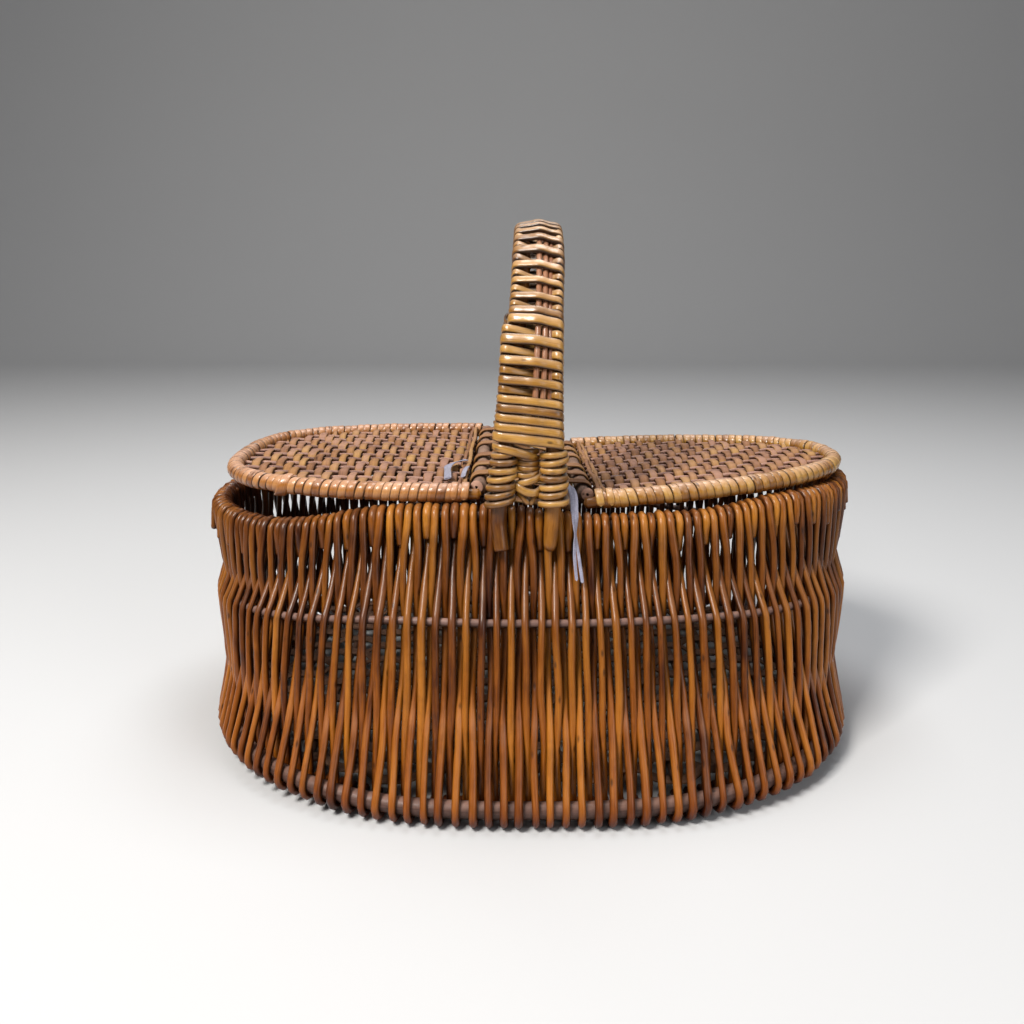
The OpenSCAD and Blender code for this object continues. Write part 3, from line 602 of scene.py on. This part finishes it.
BARK = willow("bar bark", (0.1, 0.065, 0.045), (0.27, 0.18, 0.13), (0.44, 0.33, 0.25),
              coat=0.0, rough=(0.6, 0.8), shine=0.2)
TAPE = tape_material()


# Stakes: each rod lies in the plane that its three hoops give it
def cross_normal(c1, r1, c2, r2, side):
    span = c2 - c1
    e = unit(span)
    s = (r1 + r2) / np.linalg.norm(span)
    return s * e + math.sqrt(1 - s * s) * side * np.array([-e[1], e[0]])


def angle_of(v):
    return math.atan2(v[1], v[0])


def outer_path(c, turns):
    """An outer stake in its plane: over the rim, inside the middle hoop, outside the bottom hoop and in."""
    n1 = cross_normal(c[0], turns[0], c[1], turns[1], 1)
    n2 = cross_normal(c[1], turns[1], c[2], turns[2], -1)
    start = math.radians(185)
    inside = c[0] + turns[0] * np.array([math.cos(start), math.sin(start)])
    return np.concatenate([
        [inside + OUTER_END],
        arc(c[0], turns[0], start, angle_of(n1), 11),
        [c[1] - turns[1] * n1, c[1] + turns[1] * n2],
        arc(c[2], turns[2], angle_of(-n2), math.radians(-90), 7),
        [c[2] + np.array([-TAIL_L, -turns[2]])]])


def inner_path(c, turns, stub):
    """An inner stake in its plane: inside the rim, outside the middle hoop and inside the bottom hoop."""
    n1 = cross_normal(c[0], turns[0], c[1], turns[1], -1)
    n2 = cross_normal(c[1], turns[1], c[2], turns[2], 1)
    top = angle_of(n1) % (2 * math.pi)
    low = angle_of(-n2) % (2 * math.pi)
    if stub > 0:
        head = np.concatenate([[c[0] + np.array([turns[0] + 0.3, -stub])], arc(c[0], turns[0], 0, top, 11)])
    else:
        head = np.array([c[0] + turns[0] * n1 + INNER_END])
    return np.concatenate([
        head,
        [c[1] - turns[1] * n1, c[1] + turns[1] * n2],
        arc(c[2], turns[2], low, math.radians(205), 3)])


def bumps(s, chances):
    """Swellings of a rod at its knots."""
    swell = np.zeros(len(s))
    for _ in range(chances):
        swell += chance.uniform(0.04, 0.13) * np.exp(-((s - chance.uniform(0, s[-1])) / 2.6) ** 2)
    return swell


def stake_plane(share):
    """Hoop centres at a place of the rim, its normal, and the ways out, up and sideways."""
    tops = [hoop_point(RIM, share, RIM_CLOSE), hoop_point(MID, share, MID_CLOSE), hoop_point(BASE, share, BASE_CLOSE)]
    normal = hoop_normal(RIM, share, RIM_CLOSE)
    out = unit(normal + hoop_normal(BASE, share, BASE_CLOSE))
    fall = tops[2] - tops[0]
    up = -unit(fall - (fall @ out) * out)
    return tops, normal, out, up, np.cross(out, up)


def add_stake(pile, share, outer, stub, shift):
    """One rod. It bulges between the hoops, wanders a little, has knots and a painted highlight where it crosses."""
    tops, normal, out, up, side = stake_plane(share)
    centres = [np.array([(p - tops[0]) @ out, (p - tops[0]) @ up]) for p in tops]
    rod_r = ROD_R * (1 + 0.06 * chance.standard_normal())
    rim_r = rod_r + (RIM_ROD_R - ROD_R) * abs(normal[1]) ** 2
    turns = [RIM_R + rim_r, MID_R + rod_r, BASE_R + min(rod_r, BASE_ROD_R)]
    flat = outer_path(centres, turns) if outer else inner_path(centres, turns, stub)
    flat = resample(flat, STAKE_STEP, tip=rod_r)
    drop = np.clip(-flat[:, 1] / -centres[2][1], 0, 1)
    middle = centres[1][1] / centres[2][1]
    above = np.clip(drop / middle, 0, 1)
    below = np.clip((drop - middle) / (1 - middle), 0, 1)
    high, deep = OUTER_BULGES if outer else INNER_BULGES
    high *= chance.uniform(0.6, 1.2)
    deep *= chance.uniform(0.6, 1.3)
    hanging = np.ones(len(flat))
    if stub > 0:
        hanging[:int(np.argmax(flat[:, 1])) + 1] = 0
    bow = hanging * (high * above * (1 - above) + deep * below * (1 - below))
    wander = np.interp(drop, WANDER_AT, chance.standard_normal(len(WANDER)) * WANDER)
    wander += 0.3 * np.sin(drop * chance.uniform(9, 16) + chance.uniform(0, 6))
    wander += shift * (1 - ease(drop / 0.16))
    bow += 0.25 * np.sin(drop * chance.uniform(8, 18) + chance.uniform(0, 6)) * np.sin(drop * math.pi)
    path = tops[0] + (flat[:, :1] + bow[:, None]) * out + flat[:, 1:] * up + wander[:, None] * side
    s = lengths(path)
    size = rod_r * (1 + chance.uniform(-0.08, 0.08) * (2 * drop - 1) + bumps(s, 4))
    size += (rim_r - rod_r) * (1 - ease((drop - 0.04) / 0.14))
    # Painted highlight: a rosy patch where the stake crosses and catches the light, and painted shade down its two
    # sides
    crossing = OUTER_HIGHLIGHT if outer else INNER_HIGHLIGHT
    sheen_wear_shade_level = chance.uniform(0.05, 0.4) * np.exp(-((drop - crossing - chance.uniform(-0.03, 0.03)) / 0.035) ** 2)
    pile.rod(path, SIDED, side, size, tip=rod_r * 0.7, wear_highlight_shade=sheen_wear_shade_level * hanging, edge_shade=0.5)


def add_wall():
    each = STAKES // 4
    for family, outer in (("outer", True), ("inner", False)):
        for quarter, side in enumerate(("right", "back", "left", "front")):
            pile = Pile()
            first = quarter * each - each // 2
            for k in range(first, first + each):
                share = ((k + (0 if outer else 0.5)) / STAKES) % 1.0
                even = 1 if k % 2 == 0 else -1
                stub = STUB_L + chance.uniform(-1.5, 4.5) if even > 0 else 0
                add_stake(pile, share, outer, stub, RIM_SHIFT * even if outer else 0.0)
            pile.make(f"{family}_willow_{side}", STAKE, "basket", f"{family}_willow", f"{family}_stakes_{side}")


def add_hoop(name, hoop, r, node):
    steps = 240
    path = np.array([hoop_point(hoop, i / steps) for i in range(steps)])
    size = r * (1 + 0.02 * np.sin(np.arange(steps) * 2 * math.pi / steps * 9))
    pile = Pile()
    pile.rod(path, disc(12), (0, 0, 1), size, loop=True)
    pile.make(name, HOOP, "basket", "hoop_rod", node)


# Base: sticks from front to back, and strips woven through them
def wave_path(pitch, rise, start, reach, steps=6):
    """Side view of a strip that goes over one rib and under the next."""
    x = np.linspace(-reach, reach, max(8, int(2 * reach / pitch * steps)))
    turn = np.clip(1.5 * np.cos(x / pitch * math.pi + math.pi * start), -1, 1)
    return x, rise * turn * (1.5 - 0.5 * turn ** 2)


def add_base():
    z = STAKE_T + BASE_LIFT + GAP + BASE_STRIP_T + GAP + STICK_R
    a, b = BASE[0] - BASE_EDGE, BASE[1] - BASE_EDGE
    sticks = Pile()
    for x in STICK_PITCH * np.arange(-7, 8):
        half = half_depth(a, b, BASE[2], abs(x) + STICK_R)
        path = np.array([[x, y, z] for y in np.linspace(-half, half, 40)])
        sticks.rod(path, disc(10), (0, 0, 1), STICK_R, tip=STICK_R)
    sticks.make("base_stick_rods", SHADED_BASE_WOOD, "basket", "base_weave", "base_sticks")
    strips = Pile()
    for k in range(-12, 13):
        y = k * BASE_STRIP_PITCH
        half = half_depth(b, a, BASE[2], abs(y) + BASE_STRIP_ROOM)
        x, rise = wave_path(STICK_PITCH, STICK_R + GAP + BASE_STRIP_T / 2, k % 2, half)
        path = np.column_stack([x, np.full(len(x), y), z + rise])
        strips.rod(path, lozenge(BASE_STRIP_W / 2, BASE_STRIP_T / 2), (0, 0, 1))
    strips.make("base_skeins", SHADED_BASE_WOOD, "basket", "base_weave", "base_strips")


# Lids are drawn on the right, level, with the hinge line at HINGE_X, then put in their place
def hinge_turn(side):
    """Puts points beside the bridge: level on the left, lower and leaning back on the right."""
    def turn(points):
        x, y, z = points[:, 0], points[:, 1], points[:, 2]
        if side < 0:
            return np.column_stack([-x, y, LID_Z + z])
        c, s = math.cos(RIGHT_TILT), math.sin(RIGHT_TILT)
        return np.column_stack([x, y * c + z * s, RIGHT_Z - y * s + z * c])
    return turn


def lid_turn(side):
    """The same for a lid, which rests a little open."""
    warp = LEFT_WARP if side < 0 else RIGHT_WARP

    def turn(points):
        x, z = points[:, 0] - HINGE_X, points[:, 2]
        c, s = math.cos(warp), math.sin(warp)
        return hinge_turn(side)(np.column_stack([HINGE_X + x * c - z * s, points[:, 1], x * s + z * c]))
    return turn


def lid_border_path(lid, droop):
    """The border's centre line. Its front end droops below the end of the hinge bar."""
    end_x = HINGE_X - 1.5
    end = math.atan2(half_depth(*lid, end_x), end_x)
    points = []
    for t in np.linspace(-end, end, 240):
        p = oval_point(*lid, t)
        low = droop * ease((HINGE_X + 11 - p[0]) / 9) * (p[1] < 0)
        points.append([p[0], p[1], -low])
    return np.array(points)


def wound(path, turns, radius, steps=18):
    """A helix of flat cane close round a path. Each turn is a little proud or deep of the next."""
    s = lengths(path)
    offsets = chance.standard_normal(turns + 2) * 0.2
    shifts = chance.standard_normal(turns + 2) * 0.1
    tau = np.arange(turns * steps + 1) / steps
    k = np.minimum(tau.astype(int), turns)
    share = tau - k
    at = (tau + shifts[k] * (1 - share) + shifts[k + 1] * share) / turns * s[-1]
    at = np.clip(at, 0, s[-1])

    def along(value):
        return np.column_stack([np.interp(value, s, path[:, j]) for j in range(3)])
    way = unit(along(np.minimum(at + 1, s[-1])) - along(np.maximum(at - 1, 0)))
    across = unit(np.cross((0, 0, 1), way))
    up = np.cross(way, across)
    r = (radius + offsets[k] * (1 - share) + offsets[k + 1] * share)[:, None]
    angle = (2 * math.pi * tau)[:, None]
    tones = chance.random(turns + 2)[k]
    return along(at) + r * (np.cos(angle) * across + np.sin(angle) * up), way, tones


def border_rod(path):
    pile = Pile()
    pile.rod(path, disc(12), (0, 0, 1), BORDER_R * 0.95, tip=0.8)
    return pile


def border_wrap(path, lid, hooked):
    """Turns of cane round the border, two rings at its front end and a hook over it."""
    pile = Pile()
    s = lengths(path)
    inner = path[(s > 8.5) & (s < s[-1] - 4)]
    thick = WRAPPED_R - BORDER_R
    line, ways, tones = wound(inner, int(lengths(inner)[-1] / WRAP_PITCH), BORDER_R + thick / 2)
    # Painted shade along the edges of each turn, where the turns meet
    pile.rod(line, lozenge(thick / 2, WRAP_HALF_W, power=3.0), ways, tone=tones, edge_shade=0.9)
    for at, wide in RINGS:
        ring = arc((-half_depth(*lid, at), 0), WRAPPED_R + 0.35, math.radians(-70), math.radians(208), 22)
        line = np.column_stack([at + 0.6 * np.cos(np.linspace(0, 5, len(ring))), ring])
        pile.rod(line, lozenge(CANE_T / 2, wide), (1, 0, 0), tip=1.0, tone=0.8)
    if hooked:
        hook = arc((-half_depth(*lid, HOOK_X), 0), WRAPPED_R + 0.5, math.radians(80), math.radians(262), 10)
        line = np.column_stack([np.linspace(HOOK_X - 2, HOOK_X + 3, len(hook)), hook])
        pile.rod(line, lozenge(0.7, 3.4), (1, 0, 0), np.linspace(0.7, 1.1, len(hook)), tone=0.6)
    return pile


def hinge_bar(lid, lift):
    """The bar's front end runs out over the border, with a cut face."""
    pile = Pile()
    half = half_depth(*lid, HINGE_X) - WRAPPED_R - GAP
    y = np.linspace(-half - 2.5, half, 100)
    y = np.concatenate([y[:1], y[:1] + 0.02, y[:1] + 0.5, y[1:]])
    front = ease((-y - (half - 6)) / 9)
    line = np.column_stack([HINGE_X + 1.5 * front + 0.3 * np.sin(y * 0.08), y, lift * front + 0.25 * np.sin(y * 0.11)])
    size = HINGE_R * (0.93 - 0.1 * front + 0.03 * np.sin(y * 0.35) + 0.02 * np.sin(y * 0.9))
    size[:3] *= [0.2, 0.9, 1.0]
    cut = np.zeros(len(y))
    cut[:2] = 0.7
    pile.rod(line, disc(16), (0, 0, 1), size, wear_highlight_shade=cut)
    return pile


def lid_ribs(a, b, bend):
    pile = Pile()
    count = int((b - 2 * RIB_R) / RIB_PITCH)
    for k in range(-count, count + 1):
        end = half_depth(b, a, bend, abs(k * RIB_PITCH) + RIB_R) + 2.0
        x = np.linspace(HINGE_X + HINGE_R + GAP + 1.6, end, 110)
        y = k * RIB_PITCH + 0.5 * np.sin(x * 0.05 + k)
        path = np.column_stack([x, y, 0.25 * np.sin(x / STRIP_PITCH * math.pi + k * math.pi)])
        pile.rod(path, disc(10), (0, 0, 1), RIB_R * (1.04 + 0.06 * np.sin(x * 0.4 + 2 * k)), tip=1.0)
    return pile


def lid_strips(a, b, bend):
    """Woven strips, each cell with a tone of its own, and two thin ones at the hinge bar."""
    pile = Pile()
    first = HINGE_X + HINGE_R + GAP + CANE_T + 2 * GAP + STRIP_W / 2
    number = int((a - first - 5) / STRIP_PITCH)
    for k in range(number + 1):
        x = first + k * STRIP_PITCH
        half = half_depth(a, b, bend, x + STRIP_W / 2) + 3.0
        y, rise = wave_path(RIB_PITCH, STRIP_RISE, k % 2, half, steps=10)
        drift = 0.5 * np.sin(y * 0.045 + chance.uniform(0, 6)) + chance.uniform(-0.3, 0.3)
        path = np.column_stack([x + drift + (0.8 if k == 0 else 0.0), y, rise])
        high = np.clip(rise / STRIP_RISE, -1, 1)
        wide = 1.02 + 0.06 * high + 0.1 * np.sin(y * 0.11 + chance.uniform(0, 6))
        wide += 0.06 * np.sin(y * 0.31 + chance.uniform(0, 6))
        wide *= 0.45 + 0.55 * ease((half - np.abs(y)) / 7.5)
        cells = np.floor(y / (2 * RIB_PITCH) + 0.5 * (k % 2) + 0.25).astype(int)
        tones = chance.random(60)[cells + 30]
        pale = 0.5 * (chance.random(60) < 0.25)[cells + 30] * (high > 0)
        # Painted shade along each strip's edges
        pile.rod(path, lozenge(STRIP_W / 2, STRIP_HALF_T, power=2.2), (0, 0, 1), wide, tone=tones, wear_highlight_shade=pale,
                 edge_shade=0.75)
    for x, z, wide in THIN_STRIPS:
        half = half_depth(a, b, bend, x) + 1.5
        y = np.linspace(-half, half, 70)
        line = np.column_stack([x + 0.4 * np.sin(y * 0.09 + x), y, z + 0.5 * np.sin(y * 0.24 + x)])
        pile.rod(line, lozenge(wide, 0.5, power=2.4), (0, 0, 1), tip=1.0)
    return pile


def add_lid(name, side, lid, droop, lift, cane):
    path = lid_border_path(lid, droop)
    edge = WRAPPED_R + 2 * GAP
    field = (lid[0] - edge, lid[1] - edge, lid[2])
    for pile, piece, material, slot, node in (
            (border_rod(path), "border_rod", BOW, "lid_weave", "border"),
            (border_wrap(path, lid, side < 0), "border_cane", cane, "golden_cane", "wrap"),
            (hinge_bar(lid, lift), "hinge_rod", BARK, "bar_wood", "hinge_bar"),
            (lid_ribs(*field), "rib_rods", RIB, "lid_weave", "ribs"),
            (lid_strips(*field), "woven_skeins", WEAVE, "lid_weave", "strips")):
        pile.place(lid_turn(side), side < 0)
        pile.make(f"{name}_{piece}", material, f"{name}_lid", slot, f"{name}_lid_{node}")


# Bridge between the lids, with the cane that binds it and holds the hinge bars
def band_path(p1, r1, p2, r2, steps=12):
    """Closed line round two bars, in X and Z. The first bar is the left one."""
    lean = math.atan2(p2[1] - p1[1], p2[0] - p1[0])
    quarter = math.pi / 2
    right = arc(p2, r2 + CANE_T / 2 + GAP, lean - quarter, lean + quarter, steps)
    left = arc(p1, r1 + CANE_T / 2 + GAP, lean + quarter, lean + 3 * quarter, steps)
    return np.concatenate([right, left])


def bands(places, lines, wide):
    """Bands of three turns of cane side by side, each a closed line that lines(y) gives."""
    pile = Pile()
    for k in places:
        for j in (-1, 0, 1):
            y = k * RIB_PITCH + j * wide * 1.04
            flat = lines(y)
            line = np.column_stack([flat[:, 0], np.full(len(flat), y), flat[:, 1]])
            # Painted shade along the edges of each turn, where the turns meet
            pile.rod(line, lozenge(CANE_T / 2, wide / 2, power=3), (0, 1, 0), loop=True, edge_shade=0.6)
    return pile


def add_bridge():
    for name, side in SIDES:
        bar = Pile()
        y = np.linspace(-105, 105, 60)
        line = np.column_stack([BRIDGE_X + 0.4 * np.sin(y * 0.06 + side), y, np.zeros(len(y))])
        bar.rod(line, disc(14), (0, 0, 1), BRIDGE_R * (0.97 + 0.02 * np.sin(y * 0.2)), tip=1.2)
        bar.place(hinge_turn(side), side < 0)
        bar.make(f"{name}_bridge_rod", BARK, "basket", "bar_wood", "bridge_bars")

    def round_bars(y):
        right_z = RIGHT_Z - y * math.tan(RIGHT_TILT)
        return band_path((-BRIDGE_X, LID_Z), BRIDGE_R, (BRIDGE_X, right_z), BRIDGE_R)
    binding = bands(BINDING_AT, round_bars, BINDING_W)
    binding.make("bridge_cane", WEAVE, "basket", "golden_cane", "bridge_binding")
    for name, side in SIDES:
        loops = bands(LOOPS_AT, lambda y: band_path((BRIDGE_X, 0), BRIDGE_R, (HINGE_X, 0), HINGE_R), LOOP_W)
        loops.place(hinge_turn(side), side < 0)
        loops.make(f"{name}_hinge_cane", WEAVE, "basket", "golden_cane", f"{name}_hinge_loops")


# Handle
def arch_point(t):
    p = oval_point(ARCH_B, HANDLE_RISE, ARCH_BEND, math.pi - t)
    return np.array([p[0], p[1] + RIM_Z])


def arch_way(t):
    return unit(arch_point(min(t + 0.02, math.pi)) - arch_point(max(t - 0.02, 0)))


def handle_x(z):
    return FOOT_X + (TOP_X - FOOT_X) * (z - RIM_Z) / HANDLE_RISE


def bow_spread(z):
    return TOP_GAP / 2 + (FOOT_GAP - TOP_GAP) / 2 * (1 - ease((z - RIM_Z) / HANDLE_RISE)) ** 2


def arch_place(t, u, v):
    """Point at an angle of the arch, u to the right of its middle and v out of it."""
    p, w = arch_point(t), arch_way(t)
    q = p + v * np.array([-w[1], w[0]])
    return np.array([handle_x(p[1]) + u, q[0], q[1]])


ARCH_T = np.linspace(0, math.pi, 721)
ARCH_S = lengths(np.array([arch_point(t) for t in ARCH_T]))


def arch_angle(s):
    return float(np.interp(s, ARCH_S, ARCH_T))


def add_bows():
    for name, side in SIDES:
        pile = Pile()
        foot_x = FOOT_X + side * FOOT_GAP / 2 + PEG_SHIFTS[side]
        foot = [np.array([foot_x, y * (ARCH_B + PEG_L * PEG_LEAN), RIM_Z - PEG_L]) for y in (-1, 1)]
        middle = [arch_place(t, side * bow_spread(arch_point(t)[1]), 0) for t in np.linspace(0, math.pi, 90)]
        path = resample(np.array([foot[0]] + middle + [foot[1]]), 3.0, tip=2.0)
        s = lengths(path)
        near = np.minimum(s, s[-1] - s)
        size = BOW_R * (0.86 + 0.1 * ease(near / 22) - (0.12 * (1 - ease(near / 12)) if side > 0 else 0))
        pile.rod(path, disc(14), (1, 0, 0), size, tip=0.8 if side < 0 else 3.5)
        pile.make(f"{name}_bow_rod", BOW, "basket", "handle_rod", f"handle_{name}_bow")


def lapping_turns():
    """Place along the arch and kind of each turn of the lapping, from front to back."""
    total = ARCH_S[-1]
    turns = []
    for i, s in enumerate(OVER_TURNS):
        turns.append((s, True))
        if s not in CLOSE_TURNS and i < len(OVER_TURNS) - 1:
            turns.append(((s + OVER_TURNS[i + 1]) / 2, False))
    first_close = total - OVER_TURNS[4]
    start = OVER_TURNS[-1]
    count = 2 * int(round((first_close - start) / LAP_PITCH / 2))
    pitch = (first_close - start) / count
    turns += [(start + pitch * i, i % 2 == 0) for i in range(1, count + 1)]
    turns += [(total - s, True) for s in OVER_TURNS[3::-1]]
    return turns


def lap_loop(z, over, left):
    """One turn seen along the handle: over the outside from right to left, then back below."""
    w = bow_spread(z) + BOW_R + 0.6
    wr = w - 0.9
    wl = w + left
    top = BOW_R + 1.0
    if over:
        out = CORE_RAISE + CORE_R + 1.5
        heights = (top + 0.5, out - 1.6, out, out - 1.1, top + 0.6)
    else:
        heights = (top - 0.1, 3.0, 1.6, 2.6, top - 0.1)
    across = (wr * 0.84, w * (0.44 if over else 0.54), w * 0.04, -w * 0.34, -wl * 0.8)
    return [(wr, 0), (wr * 0.97, top * 0.75), *zip(across, heights), (-wl * 0.96, top * 0.78), (-wl, 0),
            (-wl * 0.93, -top * 0.8), (-w * 0.6, -top), (0, -top), (w * 0.6, -top), (w * 0.93, -top * 0.8)]


def add_lapping():
    turns = lapping_turns()
    centres = np.array([t[0] for t in turns])
    steps = 3
    rows, sizes, tones = [], [], []
    for i, (s, over) in enumerate(turns):
        z = arch_point(arch_angle(s))[1]
        front = min(s, ARCH_S[-1] - s)
        left = 3.2 - 2.0 * ease((LAP_STEP - front) / 55) if front < LAP_STEP else 0.0
        loop = smooth(lap_loop(z, over, left), steps, loop=True)
        before = s - centres[i - 1] if i > 0 else LAP_PITCH
        after = centres[i + 1] - s if i < len(turns) - 1 else LAP_PITCH
        pitch = (before + after) / 2
        close = over and before < 5.5 and after < 6.2
        width = pitch * (0.94 if close else 1.06 if over else 0.84)
        width *= 1 + 0.04 * chance.standard_normal()
        tone = chance.random()
        for k, (u, v) in enumerate(loop):
            share = k / len(loop)
            ahead = share - 0.25
            slide = 0.26 * (1 - 4 * abs(share - 0.5)) * LAP_PITCH
            at = s + (after * ahead if ahead > 0 else before * ahead) * 0.98 + slide
            rows.append(arch_place(arch_angle(at), u, v))
            sizes.append(width / 2 / LAP_HALF_W)
            tones.append(tone)
    path = np.array(rows)
    sizes = np.convolve(np.pad(sizes, 3, mode="edge"), np.ones(7) / 7, mode="valid")
    middle = np.array([[0, *arch_way(arch_angle(centres[0] + (centres[-1] - centres[0]) * i / len(path)))]
                       for i in range(len(path))])
    pile = Pile()
    # Painted shade along the edges of each turn, where the turns meet
    pile.rod(path, lozenge(LAP_HALF_T, LAP_HALF_W, power=3.0, sides=14), middle, sizes, tip=1.5, tone=tones, edge_shade=0.95)
    pile.make("handle_cane_lapping", LAPPING, "basket", "handle_cane", "handle_lapping")


def add_core_rods():
    pile = Pile()
    for k, (foot_u, top_u, deep, r) in enumerate(CORE_RODS):
        path = []
        for s in np.linspace(OVER_TURNS[0] - 2, ARCH_S[-1] - OVER_TURNS[0] + 2, 170):
            t = arch_angle(s)
            high = ease((arch_point(t)[1] - RIM_Z - 50) / 80)
            u = foot_u * (1 - high) + top_u * high
            path.append(arch_place(t, u + 0.25 * math.sin(9 * t + k), CORE_RAISE - deep))
        pile.rod(path, disc(10), (1, 0, 0), r, tip=1.5)
    pile.make("handle_core", CORE, "basket", "handle_rod", "handle_core_rods")


def add_leg_cane():
    """Cane wound round each leg above the rim. Each turn has its own tilt, size and tone."""
    steps = 20
    tau = np.arange(LEG_TURNS * steps + 1) / steps
    angle = 2 * math.pi * tau
    k = np.minimum(tau.astype(int), LEG_TURNS - 1)
    share = tau - k
    for y_name, front in FACES:
        for x_name, side in SIDES:
            tilt = chance.uniform(-0.14, 0.14, LEG_TURNS + 1)
            grow = chance.uniform(-0.3, 0.7, LEG_TURNS + 1)
            grow[:2] += 0.5
            tone = chance.random(LEG_TURNS + 1)[k]
            r = BOW_R * 0.92 + 1.9 + grow[k] * (1 - share) + grow[k + 1] * share
            z = LEG_START + LEG_PITCH * tau + r * (tilt[k] * (1 - share) + tilt[k + 1] * share) * np.cos(angle)
            y = np.array([half_depth(HANDLE_RISE, ARCH_B, ARCH_BEND, max(h - RIM_Z, 0)) for h in z])
            x = np.array([handle_x(h) + side * bow_spread(h) for h in z])
            line = np.column_stack([x + r * np.cos(angle), front * y + r * np.sin(angle), z])
            pile = Pile()
            # Painted shade along the edges of each turn, where the turns meet
            pile.rod(line, lozenge(1.6, 1.75, sides=12), (0, 0, 1), tip=1.5, tone=tone, edge_shade=0.7)
            pile.make(f"{y_name}_{x_name}_leg_winding", LAPPING, "basket", "handle_cane",
                      f"{y_name}_{x_name}_leg_cane")


def add_lashings():
    for name, front in FACES:
        pile = Pile()
        for points, half_w, half_t, tone in STRAPS:
            line = smooth([(x, front * (ARCH_B - 1.0 + out), z) for x, out, z in points], 6)
            # Painted shade along the edges of each strap
            pile.rod(line, lozenge(half_t, half_w, power=2.4, sides=12), (0, 0, 1), tip=1.0, tone=tone, edge_shade=0.7)
        pile.make(f"{name}_lashing_cane", LAPPING, "basket", "handle_cane", f"{name}_lashing")


# Tape
def turned_width(path, twist):
    """The way of a ribbon's width, turned about its path by the angles in twist."""
    s = lengths(path) / lengths(path)[-1]
    angle = np.interp(s, np.linspace(0, 1, len(twist)), twist)
    way = unit(np.gradient(path, axis=0))
    across = unit(np.cross((1, 0, 0), way))
    up = np.cross(way, across)
    return np.cos(angle)[:, None] * across + np.sin(angle)[:, None] * up


def add_right_tape():
    """Two strands side by side that fork towards the end, and a knot on the bridge."""
    path = smooth(RIGHT_TAPE, 8)
    turned = turned_width(path, RIGHT_TWIST)
    pile = Pile()
    s = lengths(path)
    fork = ease((s - (s[-1] - FORK_L)) / FORK_L)
    for half in (-1, 1):
        line = path + (half * 1.05 + half * 0.5 * fork)[:, None] * turned
        line[:, 2] += (0.0 if half < 0 else -1.6) * fork
        pile.rod(line, lozenge(0.3, 1.15, power=3, sides=12), turned, 1 - 0.25 * fork, tip=0.5)
    tail = pile.make("right_ribbon", TAPE, "basket", "tape", "right_tape_tail")
    knot = Pile()
    z = tape_z(10)
    line = smooth([(20, 10.6, z), (21.3, 12, z + 0.4), (18.8, 14, z + 0.2), (21, 16, z - 0.3), (20, 18, z)], 8)
    knot.rod(line, lozenge(0.9, 1.4, power=2.4), (0, 0, 1), tip=0.8)
    knot = knot.make("right_ribbon_knot", TAPE, "basket", "tape", "right_tape_knot")
    [c * MM for c in RIGHT_TAPE[0]]
    lengths(path)[-1] * MM


def add_left_tape():
    """A tail that leans from side to side on the left lid, with a short strand beside it."""
    path = smooth(LEFT_TAPE, 8)
    pile = Pile()
    twist = 0.35 * np.sin(np.linspace(0, 7, len(path)))[:, None]
    lean = np.column_stack([twist, 0.3 * twist, np.ones(len(path))])
    pile.rod(path, lozenge(TAPE_W / 2 * 0.98, 0.35, power=4, sides=12), unit(lean))
    turn = lid_turn(-1)
    pile.place(turn, True)
    tail = pile.make("left_ribbon", TAPE, "left_lid", "tape", "left_tape_tail")
    strand = Pile()
    strand.rod(smooth(STRAND, 6), lozenge(1.5, 0.35, power=4, sides=12), (0.3, 0, 1), tip=0.5)
    strand.place(turn, True)
    strand = strand.make("left_ribbon_strand", TAPE, "left_lid", "tape")
    placed = turn(path)
    lengths(placed)[-1] * MM


# Stage
def add_stage():
    """Pale floor that curves up into a backdrop."""
    rows = [(FLOOR_FRONT, 0.0), (CURVE_START, 0.0)]
    rows += [(CURVE_START + math.sin(t), 1 - math.cos(t)) for t in np.linspace(0.1, math.pi / 2, 12)]
    rows.append((CURVE_START + 1, BACKDROP_TOP))
    points = [(x, y, z) for y, z in rows for x in (-STAGE_HALF, STAGE_HALF)]
    faces = [(2 * i, 2 * i + 1, 2 * i + 3, 2 * i + 2) for i in range(len(rows) - 1)]
    mesh = bpy.data.meshes.new("floor")
    mesh.from_pydata(points, [], faces)
    mesh.polygons.foreach_set("use_smooth", [True] * len(faces))
    n = Nodes("floor")
    n.feed(n.shader, {"Base Color": (0.6, 0.6, 0.6, 1), "Roughness": 0.85})
    mesh.materials.append(n.material)
    floor = add_object("floor", mesh)
    world = bpy.data.worlds.new("world")
    world.use_nodes = True
    background = world.node_tree.nodes["Background"]
    background.inputs["Color"].default_value = (0.88, 0.9, 0.95, 1)
    background.inputs["Strength"].default_value = 0.15
    bpy.context.scene.world = world
    for name, lamp in LAMPS.items():
        add_lamp(name, *lamp)


bpy.context.scene.view_settings.view_transform = "Standard"
add_camera()
add_right_tape()
add_left_tape()
add_stage()
add_hoop("rim_hoop_rod", RIM, RIM_R, "top_hoop")
add_hoop("middle_hoop_rod", MID, MID_R, "middle_hoop")
add_hoop("bottom_hoop_rod", BASE, BASE_R, "bottom_hoop")
add_wall()
add_base()
add_lid("left", -1, LEFT_LID, 0.6, 2.4, LEFT_CANE)
add_lid("right", 1, RIGHT_LID, 1.6, 2.4, GOLDEN)
add_bridge()
add_bows()
add_core_rods()
add_lapping()
add_leg_cane()
add_lashings()
